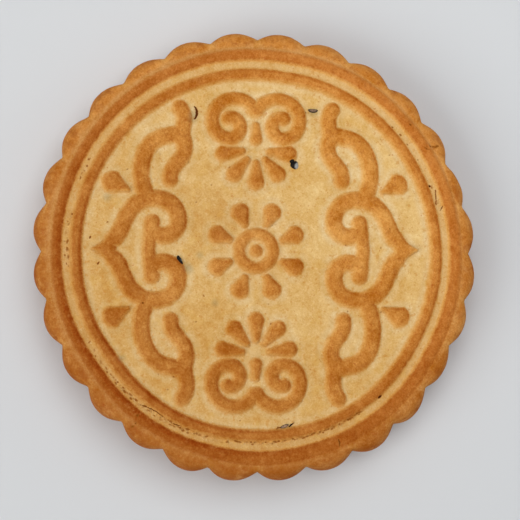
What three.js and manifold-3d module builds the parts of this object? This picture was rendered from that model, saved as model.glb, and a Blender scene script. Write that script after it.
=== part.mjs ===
// Five nut mooncake: a round baked cake with a fluted wall and a moulded face.
// Millimetres, +Z up. The cake lies flat with its moulded face up, and the
// origin is the middle of its underside. +Y is the top of the ornament.
import * as THREE from 'three';
import { mergeVertices } from 'three/addons/utils/BufferGeometryUtils.js';
import Module from 'manifold-3d';

const wasm = await Module();
wasm.setup();

// Wall and flutes
const WIDEST_RADIUS = 77.5;
const BASE_RADIUS = 73.0;
const BELLY_LOW = 8.0;
const BELLY_HIGH = 12.5;
const SHOULDER_HEIGHT = 22.6;
const SHOULDER_SQUARENESS = 2.6;
const FLUTES = 28;
const STEPS_PER_FLUTE = 8;
const FLUTE_DEPTH = 3.8;
const FLUTE_ROUNDNESS = 2.2;
const FLUTE_AT_BASE = 0.35;
const FLUTE_FADE = 1.3;
const FOOT_STEPS = 3;
const SHOULDER_STEPS = 5;

// Rings of the face, each a rounded bar
const RIM_BAND = { inner: 66.7, outer: 71.4, top: 23.1 };
const INNER_RING = { inner: 59.8, outer: 64.4, top: 23.05 };
const BAR_FULLNESS = 0.6;
const BAR_STEPS = 5;
const GROOVE_FLOOR = 21.7;
const FIELD_EDGE = 21.5;
const FIELD_RISE = 0.8;
const FACE_SEGMENTS = 84;
const FACE_DEPTH_BELOW = 4;

// Unevenness from the baking: the whole face is a little oval, the wall more so,
// and the axis of the rings stands a little off the middle of the outline
const OVAL_SHARE = 0.0055;
const OVAL_DIRECTION = -66;
const WALL_OVAL = 0.36;
const WALL_OVAL_DIRECTION = -83;
const WALL_THREE_SIDED = 0.36;
const WALL_THREE_DIRECTION = 42.5;
const AXIS_X = 0.29;
const AXIS_Y = 0.33;
const SWELLINGS = [
  { direction: 21.5, reach: 5, amount: -1.4 },
  { direction: 25, reach: 1.6, amount: -0.6 },
  { direction: 303, reach: 12, amount: 0.7 },
  { direction: 329, reach: 9, amount: -0.6 },
];

// Both rings stray a little from their circles, and the rim band more than the inner
// ring. The straying fades out over the field inside STRAY_FROM and over the shoulder.
const RING_SWELLINGS = [
  { direction: 84, reach: 14, amount: -0.75 },
  { direction: 108, reach: 14, amount: -0.3 },
  { direction: 216, reach: 10, amount: -0.65 },
  { direction: 246, reach: 12, amount: 0.3 },
  { direction: 298, reach: 20, amount: 0.4 },
  { direction: 332, reach: 14, amount: -0.45 },
];
const BAND_SWELLINGS = [
  { direction: 269, reach: 12, amount: 0.45 },
  { direction: 300, reach: 60, amount: -0.2 },
  { direction: 0, reach: 30, amount: -0.2 },
];
const STRAY_FROM = 52.0;
const STRAY_TO = 76.5;

// Raised ornament
const RELIEF_HEIGHT = 1.4;
const RELIEF_SLOPE = 1.0;
const RELIEF_DEPTH_BELOW = 1.5;
const CURVE_STEP = 2.5;
const CAP_STEPS = 4;
const DROP_HEAD_STEPS = 8;
const DROP_TIP_STEPS = 2;

// One quarter of the side scrolls, each stroke a chain of arcs of a length and
// a turn in degrees. x runs out from the middle line, y away from the waist.
const SCROLLS = [
  { name: 'cee', start: [25.6, 40.6], heading: -15, width: 5.4, arcs: [[5.5, 4], [9.5, -56], [16, -50]] },
  { name: 'crook', start: [26.1, 38.6], heading: 105, width: 5.0, arcs: [[6, -8], [5.3, -45]] },
  { name: 'hook', start: [25.5, 39.1], heading: -118, width: 5.0, arcs: [[8.5, 67], [3, 0], [5, -45]] },
  {
    name: 'loop',
    start: [54.0, 0.6],
    heading: 172,
    width: 5.4,
    startWidth: 2.2,
    taper: 9,
    arcs: [[10.2, -60], [5.7, 5], [14.2, 79], [11.2, 83], [9.6, 104]],
  },
  { name: 'stem', start: [35.2, 9.2], heading: -80, width: 4.8, arcs: [[9.6, -3]] },
];
const DROP = { head: [49.0, 22.9], headRadius: 3.6, tip: [43.9, 20.3], tipRadius: 0.6 };
const POINT = { head: [51.8, 0], headRadius: 2.4, tip: [55.3, 0], tipRadius: 0.3 };

// The scrolls sit a little left of the middle at the top and right of it below
const SCROLL_SHIFT = -0.45;
const SCROLL_LOWER_SHIFT = 1.4;
const SCROLL_SHIFT_FROM = 12;
const SCROLL_SHIFT_OVER = 38;
const SCROLL_LIFT = 0.95;
const SCROLL_REACH = 54;

// Middle column: a curled cloud head over a fan of petals, a round flower, and
// the same fan and head turned over below it
const COLUMN_X = -0.6;
const COLUMN_Y = 0.4;
const CLOUD_WIDTH = 4.2;
const CLOUD_CURL = {
  name: 'curl',
  start: [0.4, 48.6],
  heading: 62,
  arcs: [[8.6, -62], [14.5, -108], [7.2, -72], [8.6, -130], [3.5, -70]],
};
const CLOUD_BUD = { head: [0, 38.6], headRadius: 1.9, tip: [0, 43.4], tipRadius: 0.9 };
const FAN_Y = 35.1;
const FAN_DIRECTIONS = [-172, -131, -90, -49, -8];
const FAN_PETAL = { head: [11.4, 0], headRadius: 2.6, tip: [4.8, 0], tipRadius: 0.9 };
const FLOWER_RING_RADIUS = 5.8;
const FLOWER_RING_WIDTH = 3.6;
const FLOWER_BOSS_RADIUS = 1.9;
const FLOWER_RING_SIDES = 20;
const FLOWER_HOLE_SIDES = 14;
const FLOWER_BOSS_SIDES = 10;
const PETALS = 8;
const FLOWER_PETAL = { head: [14.2, 0], headRadius: 3.0, tip: [10.1, 0], tipRadius: 1.1 };

// Seeds that broke through the crust: place, direction in degrees and half sizes
const SEEDS = [
  { name: 'upper right seed', at: [19.3, 49.4], turn: -3, half: [1.7, 0.8] },
  { name: 'round seed', at: [12.5, 30.4], turn: -50, half: [1.8, 1.4] },
  { name: 'loop seed', at: [-26.6, -2.7], turn: -57, half: [1.6, 0.7] },
  { name: 'lower ring seed', at: [9.8, -59.0], turn: 22, half: [2.2, 0.7] },
];
const SEED_HEIGHT = 0.75;
const SEED_SIDES = 6;
const SEED_ROWS = 4;

const radians = THREE.MathUtils.degToRad;

// Distance between two directions in degrees, from -180 to 180
function turnBetween(a, b) {
  return THREE.MathUtils.euclideanModulo(a - b + 180, 360) - 180;
}

// How far the flutes cut into the wall in a direction, from 0 on a crest to 1 in a notch
function fluteCut(direction) {
  const across = THREE.MathUtils.euclideanModulo(direction * FLUTES / 360, 1);
  return Math.pow(Math.abs(2 * across - 1), FLUTE_ROUNDNESS);
}

// Share of the flutes' depth at a height on the wall: full at the belly, none on the face
function fluteShare(height) {
  if (height < BELLY_LOW) {
    return THREE.MathUtils.lerp(FLUTE_AT_BASE, 1, height / BELLY_LOW);
  }
  const level = THREE.MathUtils.clamp((height - BELLY_HIGH) / (SHOULDER_HEIGHT - BELLY_HIGH), 0, 1);
  return Math.pow(1 - level * level, FLUTE_FADE / 2);
}

// Radius of the slightly oval cake for a true circle of this radius
function ovalRadius(radius, direction) {
  return radius * (1 + OVAL_SHARE * Math.cos(radians(2 * (direction - OVAL_DIRECTION))));
}

// Sum of some swellings in a direction
function swollen(swellings, direction) {
  let amount = 0;
  for (const swelling of swellings) {
    const away = turnBetween(direction, swelling.direction) / swelling.reach;
    amount += swelling.amount * Math.exp(-away * away);
  }
  return amount;
}

// How far the wall stands out of or behind its oval in a direction
function wallUnevenness(direction) {
  let amount = WALL_OVAL * Math.cos(radians(2 * (direction - WALL_OVAL_DIRECTION)));
  amount += WALL_THREE_SIDED * Math.cos(radians(3 * (direction - WALL_THREE_DIRECTION)));
  return amount + swollen(SWELLINGS, direction);
}

// How far the rings stray outwards from their circles at a radius of the face
function ringStraying(radius, direction) {
  const joined = THREE.MathUtils.smoothstep(radius, STRAY_FROM, INNER_RING.inner);
  const faded = 1 - THREE.MathUtils.smoothstep(radius, RIM_BAND.outer, STRAY_TO);
  const atBand = THREE.MathUtils.smoothstep(radius, INNER_RING.outer, RIM_BAND.inner);
  return joined * faded * (swollen(RING_SWELLINGS, direction) + atBand * swollen(BAND_SWELLINGS, direction));
}

// How far the field and all that stands on it is domed up at a distance from the axis
function domeRise(radius) {
  const out = Math.min(1, radius / INNER_RING.inner);
  return FIELD_RISE * (1 - out * out);
}

// A quarter of an ellipse in the (radius, height) plane, squarer than one above a squareness of 2
function quarterEllipse(centre, radii, from, to, steps, squareness) {
  const points = [];
  const bulge = (value) => Math.sign(value) * Math.pow(Math.abs(value), 2 / squareness);
  for (let i = 0; i <= steps; i++) {
    const angle = radians(from + (to - from) * i / steps);
    const x = centre[0] + radii[0] * bulge(Math.cos(angle));
    points.push(new THREE.Vector2(x, centre[1] + radii[1] * bulge(Math.sin(angle))));
  }
  return points;
}

// Outline of a ring's rounded bar, from its outer foot over its top to its inner foot
function barProfile(bar, foot, steps) {
  const middle = (bar.inner + bar.outer) / 2;
  const half = (bar.outer - bar.inner) / 2;
  const points = [];
  for (let i = 0; i <= steps; i++) {
    const angle = Math.PI * i / steps;
    const rise = Math.pow(Math.max(0, Math.sin(angle)), BAR_FULLNESS);
    points.push(new THREE.Vector2(middle + half * Math.cos(angle), foot + (bar.top - foot) * rise));
  }
  return points;
}

// Turn a closed three.js geometry into a solid
function solidOf(geometry) {
  geometry.deleteAttribute('normal');
  geometry.deleteAttribute('uv');
  const merged = mergeVertices(geometry, 1e-4);
  const mesh = new wasm.Mesh({
    numProp: 3,
    vertProperties: new Float32Array(merged.attributes.position.array),
    triVerts: new Uint32Array(merged.index.array),
  });
  return new wasm.Manifold(mesh);
}

// Move each vertex of a geometry by a rule that changes a vector in place
function reshape(geometry, rule) {
  const position = geometry.attributes.position;
  const vertex = new THREE.Vector3();
  for (let i = 0; i < position.count; i++) {
    vertex.fromBufferAttribute(position, i);
    rule(vertex);
    position.setXYZ(i, vertex.x, vertex.y, vertex.z);
  }
  return geometry;
}

// Move each vertex off the axis in or out to the radius that a rule gives it
function reshapeRadius(geometry, rule) {
  return reshape(geometry, (vertex) => {
    const radius = Math.hypot(vertex.x, vertex.y);
    if (radius === 0) return;
    const direction = THREE.MathUtils.radToDeg(Math.atan2(vertex.y, vertex.x));
    const scale = rule(radius, direction, vertex.z) / radius;
    vertex.x *= scale;
    vertex.y *= scale;
  });
}

// Spin a profile of (radius, height) points about the upright axis
function spun(profile, segments) {
  const geometry = new THREE.LatheGeometry(profile, segments);
  geometry.rotateX(Math.PI / 2);
  return geometry;
}

// Fluted wall with its rounded foot and shoulder, and the lid that the face lies on
function buildWall() {
  const footRadii = [WIDEST_RADIUS - BASE_RADIUS, BELLY_LOW];
  const foot = quarterEllipse([BASE_RADIUS, BELLY_LOW], footRadii, -90, 0, FOOT_STEPS, 2);
  const shoulderRadii = [WIDEST_RADIUS - RIM_BAND.outer, SHOULDER_HEIGHT - BELLY_HIGH];
  const shoulderCentre = [RIM_BAND.outer, BELLY_HIGH];
  const shoulder = quarterEllipse(shoulderCentre, shoulderRadii, 0, 90, SHOULDER_STEPS, SHOULDER_SQUARENESS);
  const underBand = (RIM_BAND.inner + RIM_BAND.outer) / 2;
  const lidHeight = FIELD_EDGE - RELIEF_HEIGHT;
  const lid = [[underBand, SHOULDER_HEIGHT], [underBand, lidHeight], [0, lidHeight]];
  const lidPoints = lid.map(([radius, height]) => new THREE.Vector2(radius, height));
  const profile = [new THREE.Vector2(0, 0), ...foot, ...shoulder, ...lidPoints];
  return reshapeRadius(spun(profile, FLUTES * STEPS_PER_FLUTE), (radius, direction, height) => {
    const relief = wallUnevenness(direction) - FLUTE_DEPTH * fluteCut(direction);
    return ovalRadius(radius, direction) + fluteShare(height) * relief;
  });
}

// Face of the cake: rim band, groove, inner ring and the field, still flat here
function buildFace() {
  const underside = GROOVE_FLOOR - FACE_DEPTH_BELOW;
  const profile = [new THREE.Vector2(0, underside), new THREE.Vector2(RIM_BAND.outer, underside)];
  profile.push(...barProfile(RIM_BAND, GROOVE_FLOOR, BAR_STEPS));
  profile.push(...barProfile(INNER_RING, FIELD_EDGE, BAR_STEPS));
  profile.push(new THREE.Vector2(0, FIELD_EDGE));
  return reshapeRadius(spun(profile, FACE_SEGMENTS), ovalRadius);
}

// Points along a chain of arcs, each with the stroke's half width there
function follow(stroke, width) {
  let [x, y] = stroke.start;
  let heading = radians(stroke.heading);
  let along = 0;
  const points = [];
  const halfAt = (distance) => {
    const share = stroke.taper ? Math.min(1, distance / stroke.taper) : 1;
    return THREE.MathUtils.lerp(stroke.startWidth ?? width, width, share) / 2;
  };
  points.push({ x, y, half: halfAt(0) });
  for (const [length, turn] of stroke.arcs) {
    const steps = Math.max(1, Math.round(length / CURVE_STEP));
    for (let i = 0; i < steps; i++) {
      heading += radians(turn) / steps / 2;
      x += length / steps * Math.cos(heading);
      y += length / steps * Math.sin(heading);
      heading += radians(turn) / steps / 2;
      along += length / steps;
      points.push({ x, y, half: halfAt(along) });
    }
  }
  return points;
}

// Outline of the flat top of a stroke with round ends
function strokeOutline(path) {
  const left = [];
  const right = [];
  const directions = path.map((point, i) => {
    const before = path[Math.max(0, i - 1)];
    const after = path[Math.min(path.length - 1, i + 1)];
    return Math.atan2(after.y - before.y, after.x - before.x);
  });
  const edgePoint = (i, turn) => {
    const angle = directions[i] + turn;
    const half = path[i].half - RELIEF_SLOPE / 2;
    return new THREE.Vector2(path[i].x + half * Math.cos(angle), path[i].y + half * Math.sin(angle));
  };
  path.forEach((point, i) => {
    left.push(edgePoint(i, Math.PI / 2));
    right.unshift(edgePoint(i, -Math.PI / 2));
  });
  const last = path.length - 1;
  const endCap = [];
  const startCap = [];
  for (let i = 1; i < CAP_STEPS; i++) {
    endCap.push(edgePoint(last, Math.PI / 2 - Math.PI * i / CAP_STEPS));
    startCap.push(edgePoint(0, -Math.PI / 2 - Math.PI * i / CAP_STEPS));
  }
  return [...left, ...endCap, ...right, ...startCap];
}

// Outline of the flat top of a drop: a round head drawn out to a small tip
function dropOutline(drop) {
  const dx = drop.tip[0] - drop.head[0];
  const dy = drop.tip[1] - drop.head[1];
  const inset = RELIEF_SLOPE / 2;
  const spread = Math.acos((drop.headRadius - drop.tipRadius) / Math.hypot(dx, dy));
  const towards = Math.atan2(dy, dx);
  const arc = (centre, radius, from, to, steps) => {
    const points = [];
    for (let i = 0; i <= steps; i++) {
      const angle = from + (to - from) * i / steps;
      const reach = Math.max(radius - inset, inset / 2);
      const point = new THREE.Vector2(reach * Math.cos(angle), reach * Math.sin(angle));
      points.push(point.add(new THREE.Vector2(...centre)));
    }
    return points;
  };
  const roundHead = [towards + spread, towards - spread + 2 * Math.PI];
  const head = arc(drop.head, drop.headRadius, ...roundHead, DROP_HEAD_STEPS);
  const tip = arc(drop.tip, drop.tipRadius, towards - spread, towards + spread, DROP_TIP_STEPS);
  return [...head, ...tip];
}

// Raise an outline out of the flat field, with sloping sides
function raised(outline, holes = []) {
  const shape = new THREE.Shape(outline);
  shape.holes = holes.map((hole) => new THREE.Path(hole));
  const geometry = new THREE.ExtrudeGeometry(shape, {
    depth: RELIEF_DEPTH_BELOW,
    bevelThickness: RELIEF_HEIGHT,
    bevelSize: RELIEF_SLOPE,
    bevelSegments: 1,
  });
  geometry.translate(0, 0, FIELD_EDGE - RELIEF_DEPTH_BELOW);
  return geometry;
}

// Place in the whole face of a point of the quarter pattern of scrolls
function placeScroll(point, sideX, sideY) {
  const y = sideY * point.y;
  const down = THREE.MathUtils.smoothstep(-y - SCROLL_SHIFT_FROM, 0, SCROLL_SHIFT_OVER);
  const middle = SCROLL_SHIFT + SCROLL_LOWER_SHIFT * down;
  const lift = SCROLL_LIFT * (1 - Math.pow(point.y / SCROLL_REACH, 2));
  return { ...point, x: sideX * point.x + middle, y: y + lift };
}

// Side scrolls, drops and points, one quarter repeated in the four corners
function buildScrolls() {
  const pieces = [];
  for (const sideX of [-1, 1]) {
    for (const sideY of [-1, 1]) {
      for (const stroke of SCROLLS) {
        const path = follow(stroke, stroke.width).map((point) => placeScroll(point, sideX, sideY));
        pieces.push(raised(strokeOutline(path)));
      }
      for (const drop of [DROP, POINT]) {
        const outline = dropOutline(drop).map((point) => {
          const placed = placeScroll(point, sideX, sideY);
          return new THREE.Vector2(placed.x, placed.y);
        });
        pieces.push(raised(outline));
      }
    }
  }
  return pieces;
}

// A drop turned about the origin and moved to its place in the middle column
function placedDrop(drop, direction, offsetY, side) {
  return dropOutline(drop).map((point) => {
    point.rotateAround(new THREE.Vector2(), radians(direction));
    return new THREE.Vector2(COLUMN_X + point.x, COLUMN_Y + side * (offsetY + point.y));
  });
}

// A cloud head of two curls with its fan of petals, above the flower or turned over below it
function buildCloud(side) {
  const pieces = [];
  for (const sideX of [-1, 1]) {
    const path = follow(CLOUD_CURL, CLOUD_WIDTH).map((point) => {
      return { ...point, x: COLUMN_X + sideX * point.x, y: COLUMN_Y + side * point.y };
    });
    pieces.push(raised(strokeOutline(path)));
  }
  pieces.push(raised(placedDrop(CLOUD_BUD, 0, 0, side)));
  for (const direction of FAN_DIRECTIONS) {
    pieces.push(raised(placedDrop(FAN_PETAL, direction, FAN_Y, side)));
  }
  return pieces;
}

// Points of a circle about the flower's middle
function flowerCircle(radius, count) {
  const points = [];
  for (let i = 0; i < count; i++) {
    const angle = 2 * Math.PI * i / count;
    points.push(new THREE.Vector2(COLUMN_X + radius * Math.cos(angle), COLUMN_Y + radius * Math.sin(angle)));
  }
  return points;
}

// Round flower: a boss in a ring, with drop-shaped petals about it
function buildFlower() {
  const topHalf = (FLOWER_RING_WIDTH - RELIEF_SLOPE) / 2;
  const hole = flowerCircle(FLOWER_RING_RADIUS - topHalf, FLOWER_HOLE_SIDES);
  const pieces = [raised(flowerCircle(FLOWER_RING_RADIUS + topHalf, FLOWER_RING_SIDES), [hole])];
  pieces.push(raised(flowerCircle(FLOWER_BOSS_RADIUS - RELIEF_SLOPE / 2, FLOWER_BOSS_SIDES)));
  for (let i = 0; i < PETALS; i++) {
    const direction = 360 * (i + 0.5) / PETALS;
    pieces.push(raised(placedDrop(FLOWER_PETAL, direction, 0, 1)));
  }
  return pieces;
}

// Seeds that show in the crust, each half sunk in it
function buildSeeds() {
  return SEEDS.map((seed) => {
    const geometry = new THREE.SphereGeometry(1, SEED_SIDES, SEED_ROWS);
    geometry.rotateX(Math.PI / 2);
    geometry.scale(seed.half[0], seed.half[1], SEED_HEIGHT);
    geometry.rotateZ(radians(seed.turn));
    geometry.translate(seed.at[0], seed.at[1], FIELD_EDGE);
    return geometry;
  });
}

// The whole cake as one closed solid
function buildMooncake() {
  let cake = solidOf(buildWall()).add(solidOf(buildFace()));
  const reliefs = [...buildScrolls(), ...buildCloud(1), ...buildFlower(), ...buildCloud(-1), ...buildSeeds()];
  for (const relief of reliefs) {
    cake = cake.add(solidOf(relief));
  }
  const mesh = cake.getMesh();
  const geometry = new THREE.BufferGeometry();
  geometry.setAttribute('position', new THREE.BufferAttribute(mesh.vertProperties, 3));
  geometry.setIndex(new THREE.BufferAttribute(mesh.triVerts, 1));
  reshape(geometry, (vertex) => {
    if (vertex.z > BELLY_HIGH) {
      vertex.z += domeRise(Math.hypot(vertex.x, vertex.y));
    }
  });
  reshapeRadius(geometry, (radius, direction, height) => {
    return radius + (height > BELLY_HIGH ? ringStraying(radius, direction) : 0);
  });
  geometry.translate(AXIS_X, AXIS_Y, 0);
  geometry.computeVertexNormals();
  return geometry;
}

const crust = new THREE.MeshStandardMaterial({ color: 0xc98a48, roughness: 0.75, metalness: 0 });
const mooncake = new THREE.Mesh(buildMooncake(), crust);
mooncake.name = 'mooncake';

const group = new THREE.Group();
group.name = 'five nut mooncake';
group.add(mooncake);

export default group;
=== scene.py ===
"""Looks of the five nut mooncake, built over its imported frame.

Sizes are in millimetres about the axis of the moulded rings, with +Z up and +Y
towards the top of the ornament, and are turned into metres when a mesh is made.
"""
import logging
import math
import random
from collections.abc import Callable, Sequence
from dataclasses import dataclass
from enum import Enum

import bmesh
import bpy
import numpy as np
from mathutils import Matrix, Vector, noise


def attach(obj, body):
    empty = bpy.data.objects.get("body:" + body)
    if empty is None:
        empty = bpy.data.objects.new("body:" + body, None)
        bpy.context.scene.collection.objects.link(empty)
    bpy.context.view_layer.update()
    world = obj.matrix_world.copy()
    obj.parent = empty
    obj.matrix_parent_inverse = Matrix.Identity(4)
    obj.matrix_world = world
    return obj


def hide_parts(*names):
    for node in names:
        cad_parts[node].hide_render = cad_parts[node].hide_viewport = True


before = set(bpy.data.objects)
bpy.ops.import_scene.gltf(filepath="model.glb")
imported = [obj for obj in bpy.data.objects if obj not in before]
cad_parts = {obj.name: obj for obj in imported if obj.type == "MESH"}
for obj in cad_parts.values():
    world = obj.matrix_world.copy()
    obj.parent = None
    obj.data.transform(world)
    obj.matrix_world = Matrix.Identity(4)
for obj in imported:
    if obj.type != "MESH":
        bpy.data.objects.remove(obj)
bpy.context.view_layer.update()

MM = 0.001
# Heights and radii are alike within SLACK, and a length of nothing divides as TINY
SLACK = 1e-3
TINY = 1e-6
NODE = "mooncake"
BODY = "root"
# The rings' axis stands a little off the middle of the outline
RING_AXIS = np.array([0.29, 0.33])
# Directions in degrees, anticlockwise from +X seen from above. The flanks that face
# SHADED carry a painted shade over their real browning, the cake is darker away from
# PALE_SIDE, partly as toasting and partly as painted light falloff, and its lobes are darker away from
# PALE_LOBES
SHADED = 30.0
PALE_SIDE = 42.0
PALE_LOBES = 120.0

log = logging.getLogger("mooncake")
Array = np.ndarray
Colour = tuple[int, int, int]
Span = tuple[float, float]


class Side(Enum):
    """Half of the ornament, to the left and right or below and above."""

    LOW = -1
    HIGH = 1


class Zone(Enum):
    """Part of the crust that a vertex belongs to."""

    FACE = 0
    WALL = 1
    UNDERSIDE = 2


def direction_vector(degrees: float) -> Array:
    """Unit vector of a direction in degrees."""
    return np.array([math.cos(math.radians(degrees)), math.sin(math.radians(degrees))])


def smooth_share(low: float, high: float, value: Array) -> Array:
    """Share from 0 at low to 1 at high, with level ends."""
    share = np.clip((value - low) / (high - low), 0.0, 1.0)
    return share * share * (3.0 - 2.0 * share)


def turn_between(direction: Array, other: float) -> Array:
    """Turn from the other direction to this one in degrees, from -180 to 180."""
    return (direction - other + 180.0) % 360.0 - 180.0


def wave(direction: Array, crest: float, crests: int = 1) -> Array:
    """Even wave round the cake, 1 in the direction of a crest and -1 midway between two."""
    return np.cos(np.radians(crests * (direction - crest)))


def rounded_top(across: Array) -> Array:
    """Height share of a moulded bar, from 1 on its middle to 0 at its feet.

    Args:
        across: Distance from the middle as a share of the half width.

    Returns:
        The share of the bar's full height there.
    """
    fullness, steepness = 2.5, 0.95
    return (1.0 - np.clip(np.abs(across), 0.0, 1.0) ** fullness) ** steepness


def linear(colour: Colour) -> tuple[float, float, float, float]:
    """Turn a screen colour into a linear one, by the sRGB standard.

    Args:
        colour: Red, green and blue from 0 to 255.

    Returns:
        Linear red, green and blue, and full alpha.
    """
    channels = []
    for value in colour:
        share = value / 255
        channels.append(share / 12.92 if share <= 0.04045 else ((share + 0.055) / 1.055) ** 2.4)
    return (*channels, 1.0)


# Shape of the cake


@dataclass(frozen=True)
class Swelling:
    """Place where the wall or a ring bulges out or is pressed in."""

    direction: float
    reach: float
    amount: float

    def at(self, direction: Array) -> Array:
        """How far it stands out in each direction."""
        return self.amount * np.exp(-((turn_between(direction, self.direction) / self.reach) ** 2))


@dataclass(frozen=True)
class Oval:
    """Departure of the cake from a true circle."""

    share: float = 0.0055
    direction: float = -66.0
    wall: float = 0.36
    wall_direction: float = -83.0
    three_sided: float = 0.36
    three_direction: float = 42.5
    swellings: tuple[Swelling, ...] = (
        Swelling(21.5, 5, -1.4),
        Swelling(25, 1.6, -0.6),
        Swelling(303, 12, 0.7),
        Swelling(329, 9, -0.6),
        Swelling(352, 15, 0.5),
        Swelling(315, 16, 0.4),
        Swelling(255, 9, 0.75),
        Swelling(125, 9, -0.4),
    )
    ring_swellings: tuple[Swelling, ...] = (
        Swelling(84, 14, -0.75),
        Swelling(108, 14, -0.3),
        Swelling(216, 10, -0.65),
        Swelling(246, 12, 0.3),
        Swelling(298, 20, 0.4),
        Swelling(332, 14, -0.45),
    )
    band_swellings: tuple[Swelling, ...] = (
        Swelling(269, 12, 0.45),
        Swelling(300, 60, -0.2),
        Swelling(0, 30, -0.2),
    )

    def stretch(self, direction: Array) -> Array:
        """Factor on a radius of the face."""
        return 1.0 + self.share * wave(direction, self.direction, 2)

    def ring_amount(self, direction: Array) -> Array:
        """How far both rings stray outwards from their circles."""
        return sum(swelling.at(direction) for swelling in self.ring_swellings)

    def band_amount(self, direction: Array) -> Array:
        """How far the rim band alone strays outwards."""
        return sum(swelling.at(direction) for swelling in self.band_swellings)

    def wall_amount(self, direction: Array) -> Array:
        """How far the wall stands out of or behind its oval.

        Args:
            direction: Directions in degrees.

        Returns:
            Distance outwards in each direction.
        """
        amount = self.wall * wave(direction, self.wall_direction, 2)
        amount += self.three_sided * wave(direction, self.three_direction, 3)
        return amount + sum(swelling.at(direction) for swelling in self.swellings)


@dataclass(frozen=True)
class Flutes:
    """Lobes all round the wall, fading out over the shoulder."""

    count: int = 28
    depth: float = 3.8
    roundness: float = 2.2
    at_base: float = 0.35
    fade: float = 1.3

    def cut(self, direction: Array) -> Array:
        """Share of the depth that is cut away, 0 on a crest and 1 in a notch."""
        across = (direction * self.count / 360.0) % 1.0
        return np.abs(2.0 * across - 1.0) ** self.roundness


@dataclass(frozen=True)
class WallProfile:
    """Upright section of the wall, from the underside up to the crease at the rim band."""

    widest_radius: float = 77.5
    base_radius: float = 73.0
    crease_radius: float = 71.4
    belly_low: float = 8.0
    belly_high: float = 12.5
    shoulder_height: float = 22.6
    shoulder_squareness: float = 2.6
    foot_steps: int = 5
    belly_steps: int = 2
    shoulder_steps: int = 12
    # An extra row just outside the crease carries its pale line
    seam_step: float = 0.37

    def from_crease_down(self) -> list[tuple[float, float]]:
        """Rows of the wall's vertices below the crease, from the top down.

        Returns:
            Radius and height of each row.
        """
        rows = []
        for step in (self.seam_step, *range(1, self.shoulder_steps + 1)):
            angle = math.pi / 2 * (1 - step / self.shoulder_steps)
            outward = max(0.0, math.cos(angle)) ** (2 / self.shoulder_squareness)
            upward = max(0.0, math.sin(angle)) ** (2 / self.shoulder_squareness)
            radius = self.crease_radius + (self.widest_radius - self.crease_radius) * outward
            rows.append((radius, self.belly_high + (self.shoulder_height - self.belly_high) * upward))
        for step in range(1, self.belly_steps):
            height = self.belly_high + (self.belly_low - self.belly_high) * step / self.belly_steps
            rows.append((self.widest_radius, height))
        for step in range(self.foot_steps + 1):
            angle = math.pi / 2 * step / self.foot_steps
            radius = self.base_radius + (self.widest_radius - self.base_radius) * math.cos(angle)
            rows.append((radius, self.belly_low * (1 - math.sin(angle))))
        return rows

    def flute_share(self, height: Array, flutes: Flutes) -> Array:
        """Share of the flutes' depth that the wall has.

        Args:
            height: Heights on the wall.
            flutes: The flutes.

        Returns:
            The share at each height.
        """
        level = np.clip((height - self.belly_high) / (self.shoulder_height - self.belly_high), 0.0, 1.0)
        upper = (1.0 - level * level) ** (flutes.fade / 2)
        lower = flutes.at_base + (1.0 - flutes.at_base) * np.clip(height / self.belly_low, 0.0, 1.0)
        return np.where(height < self.belly_low, lower, upper)


@dataclass(frozen=True)
class RingBar:
    """One moulded ring of the face, a rounded bar between two feet."""

    inner: float
    crest: float
    outer: float
    top: float
    inner_foot: float
    outer_foot: float
    tone: float

    def across(self, radius: Array) -> Array:
        """Place across the bar, from -1 at its inner foot over 0 at its crest to 1 at its outer one."""
        half = np.where(radius < self.crest, self.crest - self.inner, self.outer - self.crest)
        return np.clip((radius - self.crest) / half, -1.0, 1.0)

    def height(self, radius: Array) -> Array:
        """Height of the bar's surface.

        Args:
            radius: Radii between the bar's feet.

        Returns:
            The height at each radius.
        """
        across = self.across(radius)
        foot = np.where(across < 0, self.inner_foot, self.outer_foot)
        return foot + (self.top - foot) * rounded_top(across)


@dataclass(frozen=True)
class Field:
    """Pale domed field inside the rings."""

    edge_radius: float = 59.8
    edge_height: float = 21.5
    rise: float = 0.8

    def height(self, radius: Array) -> Array:
        """Height of the bare field at each radius."""
        share = np.clip(radius / self.edge_radius, 0.0, 1.0)
        return self.edge_height + self.rise * (1.0 - share * share)


# Raised ornament


@dataclass(frozen=True)
class Ridge:
    """Raised line of the ornament with round ends, wider or narrower along its length."""

    name: str
    points: Array
    half: Array

    def measure(self, places: Array) -> tuple[Array, Array, Array]:
        """Distances from each place to the ridge.

        Args:
            places: Points of the field, one row each.

        Returns:
            Depth inside the ridge's foot, distance from its middle line as a share of the
            half width, and the outward direction.
        """
        starts, steps = self.points[:-1], np.diff(self.points, axis=0)
        if not len(starts):
            starts, steps = self.points, np.zeros_like(self.points)
        halves = np.stack([self.half[: len(starts)], self.half[-len(starts):]])
        lengths = np.maximum((steps**2).sum(axis=1), TINY)
        away = places[:, None, :] - starts[None]
        share = np.clip((away * steps[None]).sum(axis=2) / lengths[None], 0.0, 1.0)
        offset = away - share[:, :, None] * steps[None]
        distance = np.sqrt((offset**2).sum(axis=2))
        half = halves[0][None] + share * (halves[1] - halves[0])[None]
        depth = half - distance
        best = depth.argmax(axis=1)
        rows = np.arange(len(places))
        reach = np.maximum(distance[rows, best], TINY)
        outward = offset[rows, best] / reach[:, None]
        return depth[rows, best], reach / half[rows, best], outward


@dataclass(frozen=True)
class Arc:
    """Stretch of a stroke of a length in millimetres, which turns by some degrees."""

    length: float
    turn: float


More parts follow.
